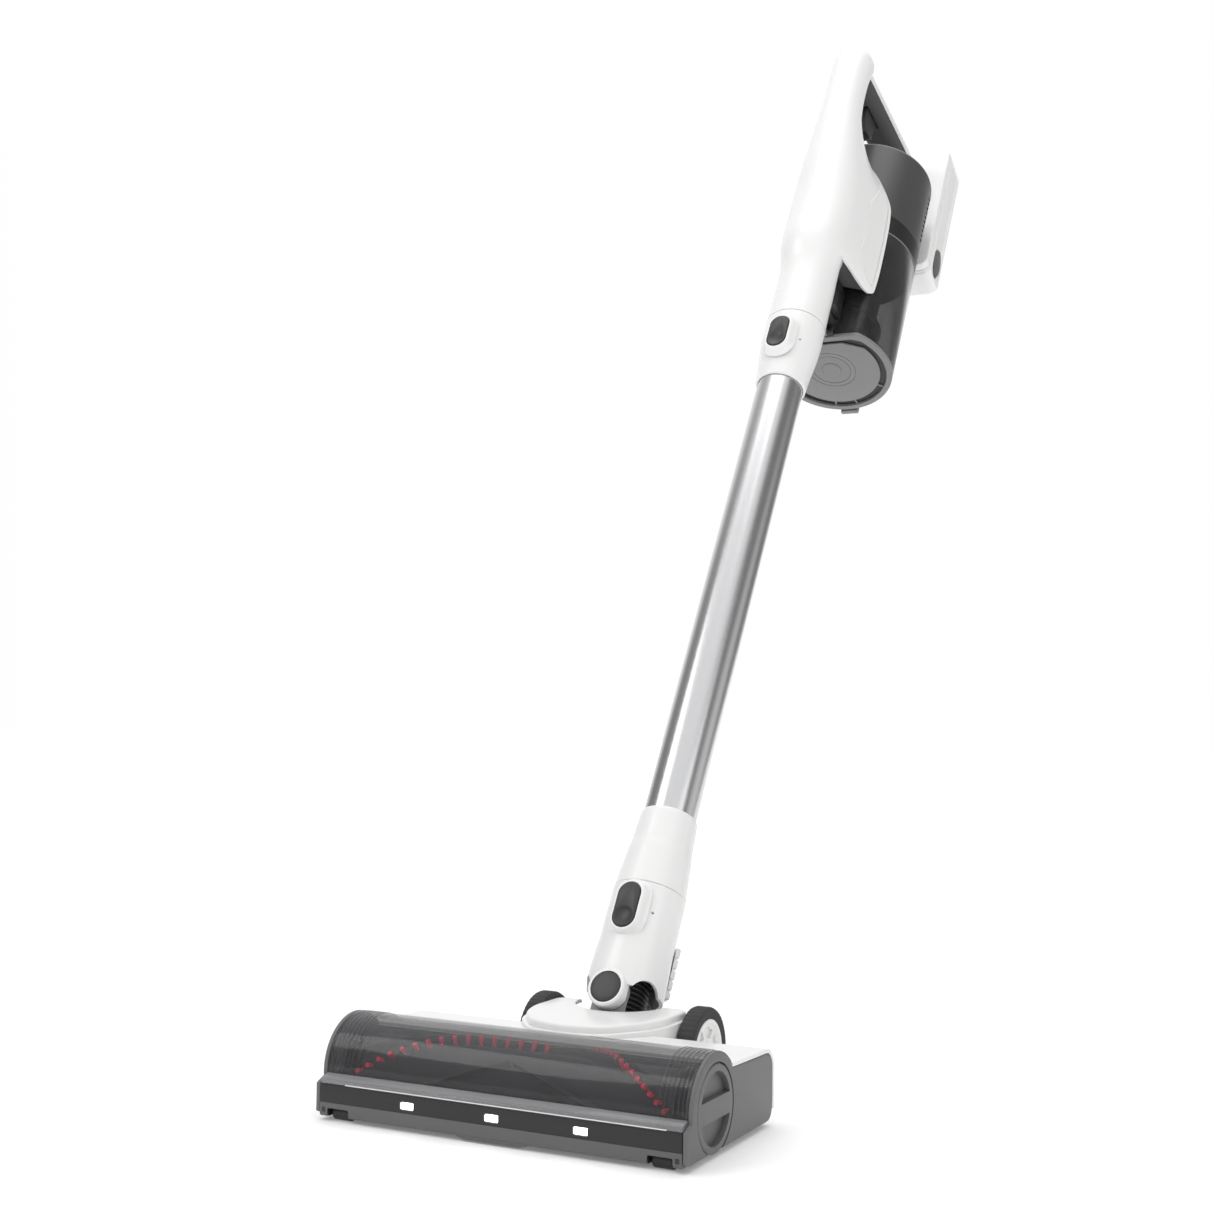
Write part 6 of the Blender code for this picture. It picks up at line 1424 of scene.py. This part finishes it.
@dataclass
class Stage:
    """Pale floor with a painted glow that brightens it away from the middle, soft lights and the camera."""

    lens: float = 50.0
    sensor: float = 36.0
    right: tuple = (0.89035, 0.45511, 0.01220)
    up: tuple = (0.01457, -0.05527, 0.99836)
    back: tuple = (0.45504, -0.88872, -0.05584)
    place: tuple = (0.52173, -0.87571, 0.26441)
    # painted light: stops of the floor's own glow by distance from the middle, faint near it and brighter
    # farther out
    glow: tuple = ((0.0, (0.16,) * 3), (0.12, (0.16,) * 3), (0.3, (0.55,) * 3))
    sky: tuple = ((0.005, 0.8), (0.06, 0.25), (0.14, 0.25), (0.27, 0.95), (0.35, 1.0), (0.68, 1.0),
                  (0.74, 0.9), (0.86, 0.22),
                  (0.94, 0.22), (0.995, 0.8))

    def _light(self, name: str, place: tuple, aim: tuple, size: tuple, power: float) -> None:
        """One soft light.

        Args:
            name: the light's name.
            place: where it hangs, in metres.
            aim: the point it faces.
            size: its width and height.
            power: its power in watts.
        """
        data = bpy.data.lights.new(name, "AREA")
        data.shape = "RECTANGLE"
        data.size, data.size_y = size
        data.energy = power
        light = bpy.data.objects.new(name, data)
        light.location = place
        light.rotation_euler = (Vector(aim) - Vector(place)).to_track_quat("-Z", "Y").to_euler()
        bpy.context.scene.collection.objects.link(light)

    def build(self) -> None:
        """Make the floor, the lights and the camera."""
        mesh = bmesh.new()
        bmesh.ops.create_grid(mesh, x_segments=2, y_segments=2, size=9)
        data = bpy.data.meshes.new("floor")
        mesh.to_mesh(data)
        mesh.free()
        floor = bpy.data.objects.new("floor", data)
        bpy.context.scene.collection.objects.link(floor)
        shader = Shader("pale_floor_painted_glow")
        # painted light: the floor glows, faintly within 1.2 m of the middle and brighter out to 3 m, so the
        # far floor looks lit
        shader.set(Base_Color=(0.88, 0.88, 0.88, 1), Roughness=0.9, Emission_Strength=1.0)
        reach = shader.node("ShaderNodeVectorMath", {"operation": "LENGTH"}, {0: shader.place()}, "Value")
        shader.set(Emission_Color=shader.node("ShaderNodeValToRGB", {"stops": self.glow}, {0: reach * 0.1}))
        data.materials.append(shader.material)
        floor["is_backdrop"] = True
        world = bpy.data.worlds.new("studio")
        world.use_nodes = True
        nodes, links = world.node_tree.nodes, world.node_tree.links
        ray = nodes.new("ShaderNodeTexCoord")
        across = nodes.new("ShaderNodeVectorMath")
        across.operation = "DOT_PRODUCT"
        across.inputs[1].default_value = (0.5 * self.right[0], 0.5 * self.right[1], 0)
        shift = nodes.new("ShaderNodeMath")
        shift.operation = "ADD"
        shift.inputs[1].default_value = 0.5
        ramp = nodes.new("ShaderNodeValToRGB")
        ramp.color_ramp.interpolation = "EASE"
        for place, tone in self.sky:
            stop = ramp.color_ramp.elements.new(place)
            stop.color = (tone, tone, tone, 1)
        for edge in (0, -1):
            ramp.color_ramp.elements.remove(ramp.color_ramp.elements[edge])
        links.new(ray.outputs["Generated"], across.inputs[0])
        links.new(across.outputs["Value"], shift.inputs[0])
        links.new(shift.outputs[0], ramp.inputs[0])
        links.new(ramp.outputs[0], nodes["Background"].inputs["Color"])
        nodes["Background"].inputs["Strength"].default_value = 1.0
        bpy.context.scene.world = world
        bpy.context.scene.view_settings.view_transform = "Standard"
        self._light("key", (-1.6, -1.8, 2.2), (0, 0, 0.4), (1.4, 1.4), 20)
        self._light("fill", (2.4, -0.8, 1.2), (0, 0, 0.5), (1.2, 1.6), 8)
        self._light("top", (0, 0.2, 2.6), (0, 0, 0.4), (2.0, 2.0), 16)
        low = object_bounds()[0]
        camera = bpy.data.cameras.new("camera")
        camera.lens, camera.sensor_width = self.lens, self.sensor
        eye = bpy.data.objects.new("camera", camera)
        turn = Matrix((self.right, self.up, self.back)).transposed().to_4x4()
        eye.matrix_world = Matrix.Translation((self.place[0], low[1] + self.place[1], self.place[2])) @ turn
        bpy.context.scene.collection.objects.link(eye)
        bpy.context.scene.camera = eye


# ---------------------------------------------------------------- carried-over nodes

CARRIED = {
    "wand_plug_lower": Finish.BLACK, "wand_plug_upper": Finish.BLACK, "swivel_pin_rear": Finish.DARK,
    "head_chassis": Finish.BLACK, "sole_plate": Finish.DARK, "brush_motor": Finish.SHAFT,
    "drive_belt": Finish.RUBBER,
    "motor_pulley": Finish.MID, "roll_bearing": Finish.SHAFT, "motor_can": Finish.SHAFT,
    "motor_bearing_lower": Finish.SHAFT,
    "motor_bearing_upper": Finish.SHAFT, "motor_mount": Finish.RUBBER, "motor_filter": Finish.PAPER,
    "exhaust_filter": Finish.FOAM, "control_board": Finish.BOARD, "impeller": Finish.MID,
    "lid_pin": Finish.SHAFT,
    "lid_seal": Finish.RUBBER, "battery_cells": Finish.SLEEVE,
}


def carry_over() -> None:
    """Give every CAD node that stays its finish."""
    for name, finish in CARRIED.items():
        node = frame["nodes"][name]
        for place in node.material_slots:
            place.material = finish.material()
        log.info("%s keeps its shape in %s", name, finish.name)


def main() -> None:
    """Build the stage, then every sub-assembly, then give the carried-over nodes their finishes."""
    logging.basicConfig(level=logging.INFO, format="%(message)s")
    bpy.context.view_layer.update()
    Stage().build()
    for part in (Wand(), Neck(), HandShell(), Cyclone(), Battery(), FloorHead(), Barrel()):
        part.build()
    carry_over()


if __name__ == "__main__":
    main()
